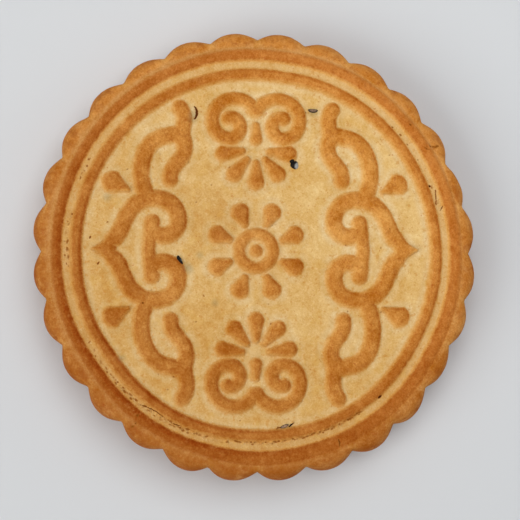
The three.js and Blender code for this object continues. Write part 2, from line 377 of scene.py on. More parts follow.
@dataclass(frozen=True)
class Stroke:
    """Chain of arcs that the mould's carver cut in one line."""

    name: str
    start: tuple[float, float]
    heading: float
    width: float
    arcs: tuple[Arc, ...]
    start_width: float | None = None
    taper: float = 1.0
    step: float = 0.6

    def follow(self) -> tuple[Array, Array]:
        """Trace the stroke from its start.

        Returns:
            Points along it and the half width at each.
        """
        first = self.width if self.start_width is None else self.start_width
        place = np.array(self.start, float)
        heading = self.heading
        along = 0.0
        points, lengths = [place], [along]
        for arc in self.arcs:
            count = max(1, round(arc.length / self.step))
            for _ in range(count):
                middle_heading = heading + arc.turn / count / 2
                place = place + direction_vector(middle_heading) * arc.length / count
                heading += arc.turn / count
                along += arc.length / count
                points.append(place)
                lengths.append(along)
        share = np.clip(np.array(lengths) / self.taper, 0.0, 1.0)
        return np.array(points), (first + (self.width - first) * share) / 2


@dataclass(frozen=True)
class Drop:
    """Round head drawn out to a small tip."""

    name: str
    head: tuple[float, float]
    head_radius: float
    tip: tuple[float, float]
    tip_radius: float

    def follow(self) -> tuple[Array, Array]:
        """Middle line from the head to the tip and the half width at both ends."""
        return np.array([self.head, self.tip], float), np.array([self.head_radius, self.tip_radius])


# The relief's sides slope, so its foot stands this far outside the traced width
FOOT_SPREAD = 0.5


@dataclass(frozen=True)
class SideScrolls:
    """Scrolls and drops at the left and right, one quarter repeated in the four corners."""

    strokes: tuple[Stroke | Drop, ...] = (
        Stroke("cee", (25.6, 40.6), -15, 5.4, (Arc(5.5, 4), Arc(9.5, -56), Arc(16, -50))),
        Stroke("crook", (26.1, 38.6), 105, 5.0, (Arc(6, -8), Arc(5.3, -45))),
        Stroke("hook", (25.5, 39.1), -118, 5.0, (Arc(8.5, 67), Arc(3, 0), Arc(5, -45))),
        Stroke(
            "loop",
            (54.0, 0.6),
            172,
            5.4,
            (Arc(10.2, -60), Arc(5.7, 5), Arc(14.2, 79), Arc(10.6, 83), Arc(9.6, 108)),
            start_width=0.8,
            taper=6.5,
        ),
        Stroke("stem", (35.6, 9.2), -81, 4.0, (Arc(9.6, -3),), start_width=5.0, taper=9.6),
        Drop("drop", (49.0, 22.9), 3.6, (43.9, 20.3), 0.6),
        Drop("point", (50.1, 0.0), 2.4, (55.5, 0.0), 0.2),
    )
    shift: float = -0.45
    lower_shift: float = 1.4
    shift_from: float = -12.0
    shift_over: float = 38.0
    lift: float = 0.95
    reach: float = 54.0

    def place(self, points: Array, side: Side, level: Side) -> Array:
        """Move the quarter pattern to one corner of the face.

        Args:
            points: Points of the pattern.
            side: Left or right half of the face.
            level: Lower or upper half of the face.

        Returns:
            The moved points.
        """
        y = level.value * points[:, 1]
        down = smooth_share(0.0, self.shift_over, self.shift_from - y)
        x = side.value * points[:, 0] + self.shift + self.lower_shift * down
        return np.stack([x, y + self.lift * (1 - (points[:, 1] / self.reach) ** 2)], axis=1)

    def ridges(self) -> list[Ridge]:
        """Lay the strokes in all four corners.

        Returns:
            Every ridge of the scrolls.
        """
        ridges = []
        for side in Side:
            for level in Side:
                for stroke in self.strokes:
                    points, half = stroke.follow()
                    placed = self.place(points, side, level)
                    name = f"{stroke.name} {side.name} {level.name}"
                    ridges.append(Ridge(name, placed, half + FOOT_SPREAD))
        return ridges


@dataclass(frozen=True)
class MiddleColumn:
    """Round flower between two cloud heads, each over a fan of petals."""

    centre: tuple[float, float] = (-0.6, 0.4)
    curl: Stroke = Stroke(
        "curl",
        (0.4, 48.6),
        62,
        4.2,
        (Arc(8.6, -62), Arc(14.5, -108), Arc(7.2, -72), Arc(8.6, -130), Arc(3.5, -70)),
    )
    bud: Drop = Drop("bud", (0.0, 38.6), 1.9, (0.0, 43.4), 0.9)
    fan_height: float = 35.1
    fan_directions: tuple[float, ...] = (-172, -131, -90, -49, -8)
    fan_petal: Drop = Drop("fan petal", (11.4, 0.0), 2.6, (4.8, 0.0), 0.9)
    petal_count: int = 8
    petal: Drop = Drop("petal", (14.2, 0.0), 3.0, (10.1, 0.0), 1.1)
    ring_radius: float = 5.8
    ring_width: float = 3.6
    ring_points: int = 72
    boss_radius: float = 1.9

    def _turned(self, drop: Drop, degrees: float, lift: float, level: Side) -> Ridge:
        """Turn a drop about the origin, lift it and set it above or below the flower.

        Args:
            drop: The drop, lying along +X.
            degrees: Direction that it is turned to.
            lift: Distance upwards after the turn.
            level: Whether it stands above the flower or mirrored below it.

        Returns:
            Its ridge.
        """
        points, half = drop.follow()
        along = direction_vector(degrees)
        across = np.array([-along[1], along[0]])
        turned = points[:, :1] * along + points[:, 1:] * across + [0.0, lift]
        placed = self._placed(turned, Side.HIGH, level)
        return Ridge(f"{drop.name} {degrees:g}", placed, half + FOOT_SPREAD)

    def _placed(self, points: Array, side: Side, level: Side) -> Array:
        """Points mirrored to one side and level of the flower."""
        return points * [side.value, level.value] + self.centre

    def ridges(self) -> list[Ridge]:
        """Lay both cloud heads with their fans, and the flower between them.

        Returns:
            Every ridge of the column.
        """
        ridges = []
        for level in Side:
            curl_points, curl_half = self.curl.follow()
            for side in Side:
                placed = self._placed(curl_points, side, level)
                ridges.append(Ridge(f"curl {side.name} {level.name}", placed, curl_half + FOOT_SPREAD))
            bud_points, bud_half = self.bud.follow()
            placed = self._placed(bud_points, Side.HIGH, level)
            ridges.append(Ridge(f"bud {level.name}", placed, bud_half + FOOT_SPREAD))
            for degrees in self.fan_directions:
                ridges.append(self._turned(self.fan_petal, degrees, self.fan_height, level))
        for index in range(self.petal_count):
            degrees = 360 * (index + 0.5) / self.petal_count
            ridges.append(self._turned(self.petal, degrees, 0.0, Side.HIGH))
        turns = np.radians(np.linspace(0, 360, self.ring_points + 1))
        ring = self.ring_radius * np.stack([np.cos(turns), np.sin(turns)], axis=1) + self.centre
        ridges.append(Ridge("flower ring", ring, np.full(len(ring), self.ring_width / 2 + FOOT_SPREAD)))
        boss = np.array([self.centre], float)
        ridges.append(Ridge("boss", boss, np.array([self.boss_radius + FOOT_SPREAD])))
        return ridges


# Blemishes of the crust


@dataclass(frozen=True)
class Pit:
    """Small hole in the crust, or a small lump where its depth is negative."""

    place: tuple[float, float]
    radius: float
    depth: float
    stretch: float = 1.0
    turn: float = 0.0
    darkness: float = 1.0

    def share(self, places: Array) -> Array:
        """How far each place is inside the pit.

        Args:
            places: Points of the face, one row each.

        Returns:
            Share from 0 at the pit's rim to 1 in its middle.
        """
        along = direction_vector(self.turn)
        offset = places - self.place
        lengthwise = offset @ along / self.stretch
        sideways = offset @ np.array([-along[1], along[0]])
        return np.clip(1.0 - np.hypot(lengthwise, sideways) / self.radius, 0.0, 1.0)


@dataclass(frozen=True)
class Crack:
    """Ragged split in the crust, or the edge of a flake that lifted."""

    place: tuple[float, float]
    turn: float
    length: float
    width: float
    depth: float
    bend: float = 20.0
    darkness: float = 1.0
    raggedness: float = 0.12
    seed: int = 1
    step: float = 0.25
    end_share: float = 0.35

    def ridge(self) -> Ridge:
        """Draw the crack, narrower at its ends.

        Returns:
            Its middle line, with the half width at each point.
        """
        wander = random.Random(self.seed)
        count = round(self.length / self.step)
        heading = self.turn - self.bend / 2
        place = np.array(self.place) - direction_vector(self.turn) * self.length / 2
        points = [place]
        for _ in range(count):
            heading += self.bend / count
            ragged = direction_vector(heading + 90) * wander.uniform(-self.raggedness, self.raggedness)
            place = place + direction_vector(heading) * self.length / count
            points.append(place + ragged)
        along = np.linspace(0.0, 1.0, count + 1)
        half = self.width / 2 * (self.end_share + (1 - self.end_share) * np.sin(math.pi * along))
        return Ridge("crack", np.array(points), half)

    def share(self, places: Array) -> Array:
        """How far each place is inside the crack, from 0 at its lips to 1 on its middle line."""
        _, across, _ = self.ridge().measure(places)
        return np.clip(1.0 - across, 0.0, 1.0)


@dataclass(frozen=True)
class Stain:
    """Grey place where a dark seed shows through the crust."""

    place: tuple[float, float]
    radius: float
    strength: float
    stretch: float = 1.0
    turn: float = 0.0
    # It has faded out at this many times its radius
    fade: float = 2.0

    def share(self, places: Array) -> Array:
        """Strength of the stain at each place."""
        pit = Pit(self.place, self.fade * self.radius, 0.0, self.stretch, self.turn)
        return self.strength * smooth_share(0.0, 1.0, pit.share(places))


def around(direction: float, radius: float) -> tuple[float, float]:
    """Place on the face at a direction in degrees and a distance from the rings' axis."""
    x, y = direction_vector(direction) * radius
    return (float(x), float(y))


@dataclass(frozen=True)
class PoreChain:
    """Row of short dark dashes and small lumps that follows a ring for part of its way round."""

    start: float
    end: float
    radius: float
    spread: float
    count: int
    lumps: int = 0
    stretches: Span = (1.0, 2.3)
    sway: float = 18.0
    dash_sizes: Span = (0.26, 0.5)
    dash_depth: float = 0.45
    darknesses: Span = (0.15, 0.52)
    lump_sizes: Span = (0.4, 0.6)
    lump_height: float = 0.8

    def pits(self, chance: random.Random) -> list[Pit]:
        """Strew the dashes and lumps, each along the ring or nearly so.

        Args:
            chance: Source of the random draws.

        Returns:
            The dashes, then the lumps.
        """
        pits = []
        for number in range(self.count + self.lumps):
            direction = chance.uniform(self.start, self.end)
            radius = self.radius + chance.uniform(-self.spread, self.spread)
            stretch = chance.uniform(*self.stretches)
            turn = direction + 90 + chance.uniform(-self.sway, self.sway)
            if number < self.count:
                size = chance.uniform(*self.dash_sizes)
                depth, darkness = self.dash_depth * size, chance.uniform(*self.darknesses)
            else:
                size = chance.uniform(*self.lump_sizes)
                depth, darkness = -self.lump_height * size, 0.0
            pits.append(Pit(around(direction, radius), size, depth, stretch, turn, darkness))
        return pits


@dataclass(frozen=True)
class Blemishes:
    """Pores, cracks and stains, at the places where the real crust has them."""

    seed: int = 7
    scattered: int = 46
    scatter_radius: float = 58.0
    scatter_sizes: Span = (0.25, 0.4)
    scatter_depth: float = 0.4
    scatter_stretches: Span = (1.0, 1.8)
    scatter_darknesses: Span = (0.15, 0.4)
    chains: tuple[PoreChain, ...] = (
        PoreChain(206, 222, 64.9, 0.6, 12),
        PoreChain(220, 262, 65.0, 0.6, 54, 36),
        PoreChain(262, 304, 64.9, 0.45, 46, 22),
        PoreChain(168, 186, 64.9, 0.8, 16, 6),
        PoreChain(151, 161, 65.5, 0.5, 7),
        PoreChain(13, 24, 65.2, 0.8, 5),
        PoreChain(29, 45, 64.4, 0.35, 4),
        PoreChain(278, 303, 64.7, 0.3, 20),
    )
    pits: tuple[Pit, ...] = (
        Pit((-39.0, -17.5), 0.45, 0.35, 1.0, 0.0, 0.8),
        Pit((-57.0, 4.8), 0.35, 0.3, 1.8, 70.0, 0.8),
        Pit((-54.2, -4.0), 0.35, 0.3, 2.2, 60.0, 0.7),
        Pit((-40.4, -55.2), 0.5, 0.35, 1.3, 30.0, 0.6),
        Pit((41.8, -49.3), 0.55, 0.6, 1.8, 35.0),
        Pit((59.9, 23.4), 0.5, 0.5, 1.0, 0.0),
        Pit((53.1, 44.7), 0.5, 0.3, 1.0, 0.0, 0.6),
        Pit((58.3, 36.6), 0.7, -0.3, 1.2, 20.0, 0.0),
        Pit((59.6, 37.6), 0.5, -0.3, 1.0, 0.0, 0.0),
        Pit((9.0, -58.8), 1.0, -0.4, 1.8, 20.0, 0.0),
        Pit((11.9, -58.0), 1.1, -0.35, 1.0, 0.0, 0.0),
    )
    cracks: tuple[Crack, ...] = (
        Crack((-21.8, 47.8), -88, 5.0, 1.15, 0.6, -88, 1.1),
        Crack((-35.6, -53.9), -28, 9.4, 0.42, 0.35, -25, seed=4),
        Crack((-27.5, -58.4), -18, 4.4, 0.32, 0.3, 12, seed=5),
        Crack((62.0, 19.7), 92, 4.8, 0.42, 0.3, 12, seed=6),
        Crack((64.0, 15.8), 62, 1.9, 0.4, 0.3, seed=7),
        Crack((61.7, 37.7), 4, 4.2, 0.6, 0.4, 70, 0.75, seed=8),
        Crack((58.9, 36.5), -30, 2.6, 0.4, 0.3, 60, 0.6, seed=9),
        Crack((67.3, 30.0), -38, 3.4, 0.7, 0.6, 20, 0.7, seed=10),
        Crack((-41.8, -58.6), 45, 2.6, 0.55, 0.4, 20, 0.8, seed=11),
        Crack((27.6, -64.6), 100, 2.6, 0.85, 0.35, 20, 0.75, seed=12),
        Crack((8.4, -59.5), 14, 4.2, 0.5, 0.5, -16, 0.9, seed=13),
        Crack((11.6, -58.7), 40, 2.2, 0.6, 0.5, -40, 1.1, seed=14),
    )
    stains: tuple[Stain, ...] = (
        Stain((-51.4, 18.5), 1.2, 0.4),
        Stain((-19.8, -1.1), 1.1, 0.35),
        Stain((-14.6, -17.4), 1.0, 0.4),
        Stain((-45.9, -36.0), 1.0, 0.4),
        Stain((-22.0, 46.8), 1.5, 0.4, 1.3, 80.0),
        Stain((-23.7, -5.5), 1.2, 0.5, 1.4, -50.0),
        Stain((19.3, 48.7), 1.2, 0.5, 1.3, 0.0),
    )
    # The mesh is refined this far beyond each pit and crack
    margin: float = 0.35
    # Shares of the way in to a blemish's middle, where it has its full depth and darkens
    full_depth: float = 0.8
    pit_dark: Span = (0.0, 0.45)
    crack_dark: Span = (0.1, 0.7)
    warm_place: tuple[float, float] = (-13.0, 14.0)
    warm_radius: float = 15.0
    warmth: float = 0.36

    def all_pits(self) -> list[Pit]:
        """Gather the pits of all kinds.

        Returns:
            The pits with a place of their own, those in the chains and the scattered ones.
        """
        chance = random.Random(self.seed)
        pits = list(self.pits)
        for chain in self.chains:
            pits += chain.pits(chance)
        for _ in range(self.scattered):
            radius = self.scatter_radius * math.sqrt(chance.random())
            size = chance.uniform(*self.scatter_sizes)
            place = around(chance.uniform(0, 360), radius)
            stretch = chance.uniform(*self.scatter_stretches)
            turn = chance.uniform(0, 180)
            darkness = chance.uniform(*self.scatter_darknesses)
            pits.append(Pit(place, size, self.scatter_depth * size, stretch, turn, darkness))
        return pits

    def near(self, places: Array) -> Array:
        """Find what lies at a pit or crack, or close beside one.

        Args:
            places: Points of the face, one row each.

        Returns:
            Whether each place does.
        """
        found = np.zeros(len(places), bool)
        for pit in self.all_pits():
            reach = pit.radius * pit.stretch + self.margin
            found |= np.hypot(*(places - pit.place).T) < reach
        for crack in self.cracks:
            close = np.hypot(*(places - crack.place).T) < crack.length
            depth, _, _ = crack.ridge().measure(places[close])
            found[close] |= depth > -self.margin
        return found

    def warm(self, places: Array) -> Array:
        """Extra toasting at each place, most where the oven's heat caught the field."""
        away = np.hypot(*(places - self.warm_place).T) / self.warm_radius
        return self.warmth * np.exp(-away * away)


# The crust's mesh


def polar(points: Array) -> tuple[Array, Array]:
    """Distance from the rings' axis, and direction in degrees, of each point."""
    return np.hypot(points[:, 0], points[:, 1]), np.degrees(np.arctan2(points[:, 1], points[:, 0]))


def add_object(mesh: bmesh.types.BMesh, name: str, data_name: str) -> bpy.types.Object:
    """Turn a mesh into an object of the scene.

    Args:
        mesh: The mesh, which is freed.
        name: Name of the object.
        data_name: Name of its mesh.

    Returns:
        The object.
    """
    data = bpy.data.meshes.new(data_name)
    mesh.to_mesh(data)
    mesh.free()
    made = bpy.data.objects.new(name, data)
    bpy.context.scene.collection.objects.link(made)
    return made


def shade_smooth(piece: bpy.types.Object) -> None:
    """Shade every face of a piece smooth."""
    piece.data.polygons.foreach_set("use_smooth", [True] * len(piece.data.polygons))


@dataclass
class Survey:
    """What the crust is like at each vertex of its mesh."""

    height: Array
    edge: Array
    side: Array
    ring: Array


@dataclass(frozen=True)
class Crease:
    """Crease between the rim band and the lobes, with a pale line along it that is partly paler crust and
    partly a painted highlight.
    """

    # It is deeper towards the upper right
    drop: float = 0.2
    deep_side: float = 60.0
    drop_span: Span = (-0.2, 0.9)
    # Half widths of the line on the band and on the lobes
    on_band: float = 0.6
    on_lobes: float = 0.7
    # The line is wider and lies further in at the left, and further out at the lower right
    inwards: float = 0.4
    inwards_side: float = 165.0
    widening: float = 0.7
    outwards: float = 1.2
    outwards_side: float = 305.0
    outwards_span: Span = (0.6, 1.0)
    # It grows fainter towards the lower right
    strength: float = 0.62
    strength_swing: float = 0.38
    strong_side: float = 130.0

    def sunk(self, direction: Array) -> Array:
        """How far the crease lies below its usual height in each direction."""
        return self.drop * smooth_share(*self.drop_span, wave(direction, self.deep_side))

    def line(self, radius: Array, direction: Array, crease_radius: float, face: Array) -> Array:
        """Strength of the pale line.

        Args:
            radius: Distance of each vertex from the rings' axis.
            direction: Direction of each vertex in degrees.
            crease_radius: Radius of the crease.
            face: Which vertices belong to the face.

        Returns:
            Strength at each vertex.
        """
        inwards = self.inwards * np.clip(wave(direction, self.inwards_side), 0.0, 1.0)
        outwards = self.outwards * smooth_share(*self.outwards_span, wave(direction, self.outwards_side))
        across = radius + inwards - outwards - crease_radius
        across /= np.where(face, self.on_band, self.on_lobes) + self.widening * inwards
        strength = self.strength + self.strength_swing * wave(direction, self.strong_side)
        return np.exp(-across * across) * strength


@dataclass(frozen=True)
class Crust:
    """Whole baked crust in one closed mesh: field, ornament, rings, fluted wall and underside."""

    wall: WallProfile = WallProfile()
    flutes: Flutes = Flutes()
    oval: Oval = Oval()
    crease: Crease = Crease()
    field_shape: Field = Field()
    inner_ring: RingBar = RingBar(59.8, 62.1, 64.4, 23.05, 21.5, 21.7, 0.5)
    rim_band: RingBar = RingBar(66.7, 69.5, 71.4, 23.1, 21.7, 22.6, 1.0)
    scrolls: SideScrolls = SideScrolls()
    column: MiddleColumn = MiddleColumn()
    blemishes: Blemishes = Blemishes()
    relief_height: float = 1.4
    grid_cells: int = 172
    inner_ring_rows: int = 9
    groove_rows: int = 4
    rim_band_rows: int = 10
    underside_radii: tuple[float, ...] = (50.0, 25.0)
    # Distances to the nearest foot count only this far out into the field
    edge_reach: float = 4.0
    # Vertices this near a foot move onto it, where its outward direction is clear enough
    snap_reach: float = 0.15
    snap_weight: float = 0.8
    # Cells are refined from half of this outside a foot to one and a half of it inside
    refine_reach: float = 0.42
    # Below 1, so that a ring's flanks face sideways almost up to its crest
    flank_exponent: float = 0.6
    groove_margin: float = 0.6
    undulation: float = 0.16
    undulation_size: float = 9.0
    # Fractal dimension, lacunarity and octaves of the undulation
    undulation_detail: tuple[float, float, int] = (0.7, 2.0, 3)
    # The oval of the rings and their straying fade in over the field from the first of
    # these radii, and the straying fades out over the wall up to the second
    stray_from: float = 52.0
    stray_to: float = 76.5

    def build(self) -> bpy.types.Object:
        """Model the crust.

        Returns:
            Its object.
        """
        mesh = bmesh.new()
        self._lay_field(mesh)
        self._extrude_rings(mesh)
        ridges = self.scrolls.ridges() + self.column.ridges()
        log.debug("ornament: %s", ", ".join(ridge.name for ridge in ridges))
        self._refine(mesh, lambda places: self._at_feet(places, ridges), 1)
        self._refine(mesh, self.blemishes.near, 2)
        bmesh.ops.recalc_face_normals(mesh, faces=mesh.faces)
        crust = add_object(mesh, "baked_crust", NODE + "_crust")
        self._shape(crust.data, ridges)
        shade_smooth(crust)
        return crust

    def _lay_field(self, mesh: bmesh.types.BMesh) -> None:
        """Lay an even grid over the field, pulled out from a square to a disc.

        Args:
            mesh: Empty mesh, which is changed.
        """
        cells = self.grid_cells
        bmesh.ops.create_grid(mesh, x_segments=cells, y_segments=cells, size=1.0)
        for vertex in mesh.verts:
            x, y = vertex.co.x, vertex.co.y
            if abs(x) > abs(y):
                radius, angle = x, math.pi / 4 * y / x
            elif y:
                radius, angle = y, math.pi / 2 - math.pi / 4 * x / y
            else:
                radius, angle = 0.0, 0.0
            reach = radius * self.field_shape.edge_radius
            vertex.co = (reach * math.cos(angle), reach * math.sin(angle), self.wall.shoulder_height)

    def _rows(self) -> list[tuple[float, float]]:
        """Rows of vertices outside the field, from the inner ring to the underside.

        Returns:
            Radius and height of each row.
        """
        top = self.wall.shoulder_height
        rows = []
        spans = (
            (self.inner_ring.inner, self.inner_ring.outer, self.inner_ring_rows),
            (self.inner_ring.outer, self.rim_band.inner, self.groove_rows),
            (self.rim_band.inner, self.rim_band.outer, self.rim_band_rows),
        )
        for start, end, count in spans:
            rows += [(start + (end - start) * step / count, top) for step in range(1, count + 1)]
        rows += self.wall.from_crease_down()
        return rows + [(radius, 0.0) for radius in self.underside_radii]

    def _extrude_rings(self, mesh: bmesh.types.BMesh) -> None:
        """Extrude the field's edge row by row over the rings and wall to a point below.

        Args:
            mesh: Mesh of the field, which is changed.
        """
        rim = [edge for edge in mesh.edges if edge.is_boundary]
        for radius, height in self._rows():
            grown = bmesh.ops.extrude_edge_only(mesh, edges=rim)["geom"]
            for vertex in (item for item in grown if isinstance(item, bmesh.types.BMVert)):
                scale = radius / math.hypot(vertex.co.x, vertex.co.y)
                vertex.co = (vertex.co.x * scale, vertex.co.y * scale, height)
            rim = [item for item in grown if isinstance(item, bmesh.types.BMEdge) and item.is_boundary]
        grown = bmesh.ops.extrude_edge_only(mesh, edges=rim)["geom"]
        last = [item for item in grown if isinstance(item, bmesh.types.BMVert)]
        bmesh.ops.pointmerge(mesh, verts=last, merge_co=(0.0, 0.0, 0.0))

    def _refine(self, mesh: bmesh.types.BMesh, places: Callable[[Array], Array], cuts: int) -> None:
        """Divide the face's cells where a rule wants more of them.

        Args:
            mesh: The flat crust.
            places: Rule that says which of some places of the face to refine.
            cuts: Number of cuts to each edge.
        """
        top = self.wall.shoulder_height - SLACK
        faces = [item for item in mesh.faces if item.calc_center_median().z > top]
        middles = np.array([item.calc_center_median()[:2] for item in faces])
        wanted = places(middles)
        # Each edge once, in the order of the faces
        edges = dict.fromkeys(edge for item, keep in zip(faces, wanted) if keep for edge in item.edges)
        bmesh.ops.subdivide_edges(mesh, edges=list(edges), cuts=cuts, use_grid_fill=True)

    def _at_feet(self, places: Array, ridges: Sequence[Ridge]) -> Array:
        """Which places lie along the feet of the ornament."""
        depth, _, _ = self._nearest_ridge(places, ridges)
        return np.abs(depth - self.refine_reach / 2) < self.refine_reach

    def _nearest_ridge(self, places: Array, ridges: Sequence[Ridge]) -> tuple[Array, Array, Array]:
        """Find the nearest ridge of each place.

        Args:
            places: Points of the field, one row each.
            ridges: The ornament.

        Returns:
            Depth inside the nearest ridge's foot, height share, and outward direction,
            which is shorter towards the ridge's middle line.
        """
        depth = np.full(len(places), -self.edge_reach)
        raised = np.zeros(len(places))
        outward = np.zeros((len(places), 2))
        for ridge in ridges:
            margin = ridge.half.max() + self.edge_reach
            low, high = ridge.points.min(axis=0) - margin, ridge.points.max(axis=0) + margin
            near = np.flatnonzero(((places > low) & (places < high)).all(axis=1))
            if not len(near):
                continue
            inside, across, away = ridge.measure(places[near])
            deeper = inside > depth[near]
            chosen = near[deeper]
            depth[chosen] = inside[deeper]
            outward[chosen] = away[deeper] * np.clip(across[deeper], 0.0, 1.0)[:, None]
            raised[near] = np.maximum(raised[near], rounded_top(across))
        return depth, raised, outward

    def _shape(self, data: bpy.types.Mesh, ridges: Sequence[Ridge]) -> None:
        """Move the vertices to the baked shape and write what the finish reads.

        Args:
            data: The flat crust's mesh, which is changed.
            ridges: The ornament.
        """
        flat = np.empty(len(data.vertices) * 3)
        data.vertices.foreach_get("co", flat)
        flat = flat.reshape(-1, 3)
        zone = self._zones(flat)
        face = zone == Zone.FACE.value
        survey = self._survey_face(flat, ridges, face)
        shaped = self._shape_wall(flat, zone)
        radius, direction = polar(flat)
        self._stray(shaped, flat, face)
        shaped[face, 2] = survey.height[face]
        shaped[:, 2] += self._undulations(flat, zone)
        mark, stain = self._blemish(shaped, face)
        data.vertices.foreach_set("co", ((shaped + [*RING_AXIS, 0.0]) * MM).ravel())
        # Darker towards the lower left, away from PALE_SIDE: partly toasting, partly painted light falloff
        toast = 0.5 - flat[:, :2] @ direction_vector(PALE_SIDE) / (2.0 * self.wall.widest_radius)
        groove_start = self.inner_ring.outer - self.groove_margin
        groove_end = self.rim_band.inner + self.groove_margin
        values = {
            "edge": survey.edge,
            # side: how far each vertex faces SHADED, which places the painted shade on the flanks
            "side": survey.side,
            "mark": mark,
            "stain": stain,
            "wall": ~face,
            "fall": np.where(face, 0.0, 1.0 - flat[:, 2] / self.wall.shoulder_height),
            "notch": np.where(zone == Zone.WALL.value, self.flutes.cut(direction), 0.0),
            "toast": toast + self.blemishes.warm(flat[:, :2]),
            "groove": face & (radius > groove_start) & (radius < groove_end),
            "ring": survey.ring,
            "seam": self.crease.line(radius, direction, self.wall.crease_radius, face),
        }
        for name, value in values.items():
            attribute = data.attributes.new(name, "FLOAT", "POINT")
            attribute.data.foreach_set("value", value.astype(np.float32))
        data.update()

    def _zones(self, flat: Array) -> Array:
        """Sort the vertices into zones.

        Args:
            flat: Vertices of the flat crust.

        Returns:
            Value of each vertex's zone.
        """
        radius, _ = polar(flat)
        on_top = flat[:, 2] > self.wall.shoulder_height - SLACK
        below = (flat[:, 2] < SLACK) & (radius < self.wall.base_radius - SLACK)
        zone = np.where(on_top, Zone.FACE.value, Zone.WALL.value)
        zone[below] = Zone.UNDERSIDE.value
        return zone

    def _stray(self, shaped: Array, flat: Array, face: Array) -> None:
        """Make the rings oval and let them stray from their circles.

        Args:
            shaped: Vertices, which are moved.
            flat: Vertices of the flat crust.
            face: Which vertices belong to the face.
        """
        radius, direction = polar(flat)
        joined = smooth_share(self.stray_from, self.field_shape.edge_radius, radius)
        stretch = 1.0 + (self.oval.stretch(direction) - 1.0) * joined
        shaped[face, :2] = flat[face, :2] * stretch[face, None]
        stray = joined * (1.0 - smooth_share(self.wall.crease_radius, self.stray_to, radius))
        at_band = smooth_share(self.inner_ring.outer, self.rim_band.inner, radius)
        amount = self.oval.ring_amount(direction) + at_band * self.oval.band_amount(direction)
        stray *= amount * (flat[:, 2] > self.wall.belly_high)
        shaped[:, :2] *= 1.0 + (stray / np.maximum(radius, TINY))[:, None]

    def _survey_face(self, flat: Array, ridges: Sequence[Ridge], face: Array) -> Survey:
        """Height, distance to the nearest foot and lie of the surface over the whole face.

        Args:
            flat: Vertices of the flat crust; those of the field are snapped to the relief's foot.
            ridges: The ornament.
            face: Which vertices belong to the face.

        Returns:
            What the face is like at each vertex.
        """
        radius, direction = polar(flat)
        radial = flat[:, :2] / np.maximum(radius, TINY)[:, None]
        light = direction_vector(SHADED)
        survey = Survey(*(np.zeros(len(flat)) for _ in range(4)))

        rows = np.flatnonzero(face & (radius < self.field_shape.edge_radius - SLACK))
        depth, _, outward = self._nearest_ridge(flat[rows, :2], ridges)
        length = np.maximum(np.hypot(*outward.T), TINY)
        snap = (np.abs(depth) < self.snap_reach) & (length > self.snap_weight)
        flat[rows[snap], :2] += (outward[snap] / length[snap][:, None]) * depth[snap][:, None]
        depth, raised, outward = self._nearest_ridge(flat[rows, :2], ridges)
        to_ring = radius[rows] - self.inner_ring.inner
        by_ring = to_ring > depth
        survey.edge[rows] = np.maximum(depth, np.maximum(to_ring, -self.edge_reach))
        survey.side[rows] = np.where(by_ring, -(radial[rows] @ light), outward @ light)
        survey.ring[rows] = np.where(by_ring & (to_ring > -self.edge_reach), self.inner_ring.tone, 0.0)
        survey.height[rows] = self.field_shape.height(radius[rows]) + self.relief_height * raised

        for ring in (self.inner_ring, self.rim_band):
            rows = np.flatnonzero(face & (radius >= ring.inner - SLACK) & (radius <= ring.outer + SLACK))
            across = ring.across(radius[rows])
            inside = radius[rows] - ring.inner
            if ring is self.inner_ring:
                inside = np.minimum(inside, ring.outer - radius[rows])
            facing = np.sign(across) * np.abs(across) ** self.flank_exponent
            survey.height[rows] = ring.height(radius[rows])
            survey.side[rows] = facing * (radial[rows] @ light)
            survey.edge[rows] = inside
            survey.ring[rows] = ring.tone
        drop = self.crease.sunk(direction) * smooth_share(self.rim_band.crest, self.rim_band.outer, radius)
        survey.height -= np.where(face, drop, 0.0)

        rows = np.flatnonzero(face & (radius > self.inner_ring.outer) & (radius < self.rim_band.inner))
        outer_half = radius[rows] > (self.inner_ring.outer + self.rim_band.inner) / 2
        between = np.minimum(radius[rows] - self.inner_ring.outer, self.rim_band.inner - radius[rows])
        survey.height[rows] = self.rim_band.inner_foot
        survey.edge[rows] = -between
        survey.side[rows] = np.where(outer_half, -1.0, 1.0) * (radial[rows] @ light)
        survey.ring[rows] = np.where(outer_half, self.rim_band.tone, self.inner_ring.tone)

        survey.edge[~face] = self.edge_reach
        survey.side[~face] = radial[~face] @ direction_vector(PALE_LOBES)
        return survey

    def _shape_wall(self, flat: Array, zone: Array) -> Array:
        """Make the wall oval, uneven and fluted.

        Args:
            flat: Vertices of the flat crust.
            zone: Value of each vertex's zone.

        Returns:
            The vertices, those of the wall and the underside moved.
        """
        shaped = flat.copy()
        rows = zone != Zone.FACE.value
        radius, direction = polar(flat[rows])
        height = flat[rows, 2]
        share = self.wall.flute_share(height, self.flutes)
        share *= np.clip(radius / self.wall.base_radius, 0.0, 1.0) ** 2
        relief = self.oval.wall_amount(direction) - self.flutes.depth * self.flutes.cut(direction)
        moved = radius * self.oval.stretch(direction) + share * relief
        shaped[rows, :2] *= (moved / np.maximum(radius, TINY))[:, None]
        upper = smooth_share(self.wall.belly_high, self.wall.shoulder_height, height)
        shaped[rows, 2] -= self.crease.sunk(direction) * upper
        return shaped

    def _undulations(self, flat: Array, zone: Array) -> Array:
        """Slow rise and fall of the baked surface, none on the underside.

        Args:
            flat: Vertices of the flat crust.
            zone: Value of each vertex's zone.

        Returns:
            Change of each vertex's height.
        """
        amount = np.zeros(len(flat))
        for row in np.flatnonzero(zone != Zone.UNDERSIDE.value):
            point = Vector(flat[row]) / self.undulation_size
            amount[row] = self.undulation * noise.fractal(point, *self.undulation_detail)
        wall = zone == Zone.WALL.value
        amount[wall] *= smooth_share(0.0, self.wall.belly_high, flat[wall, 2])
        return amount

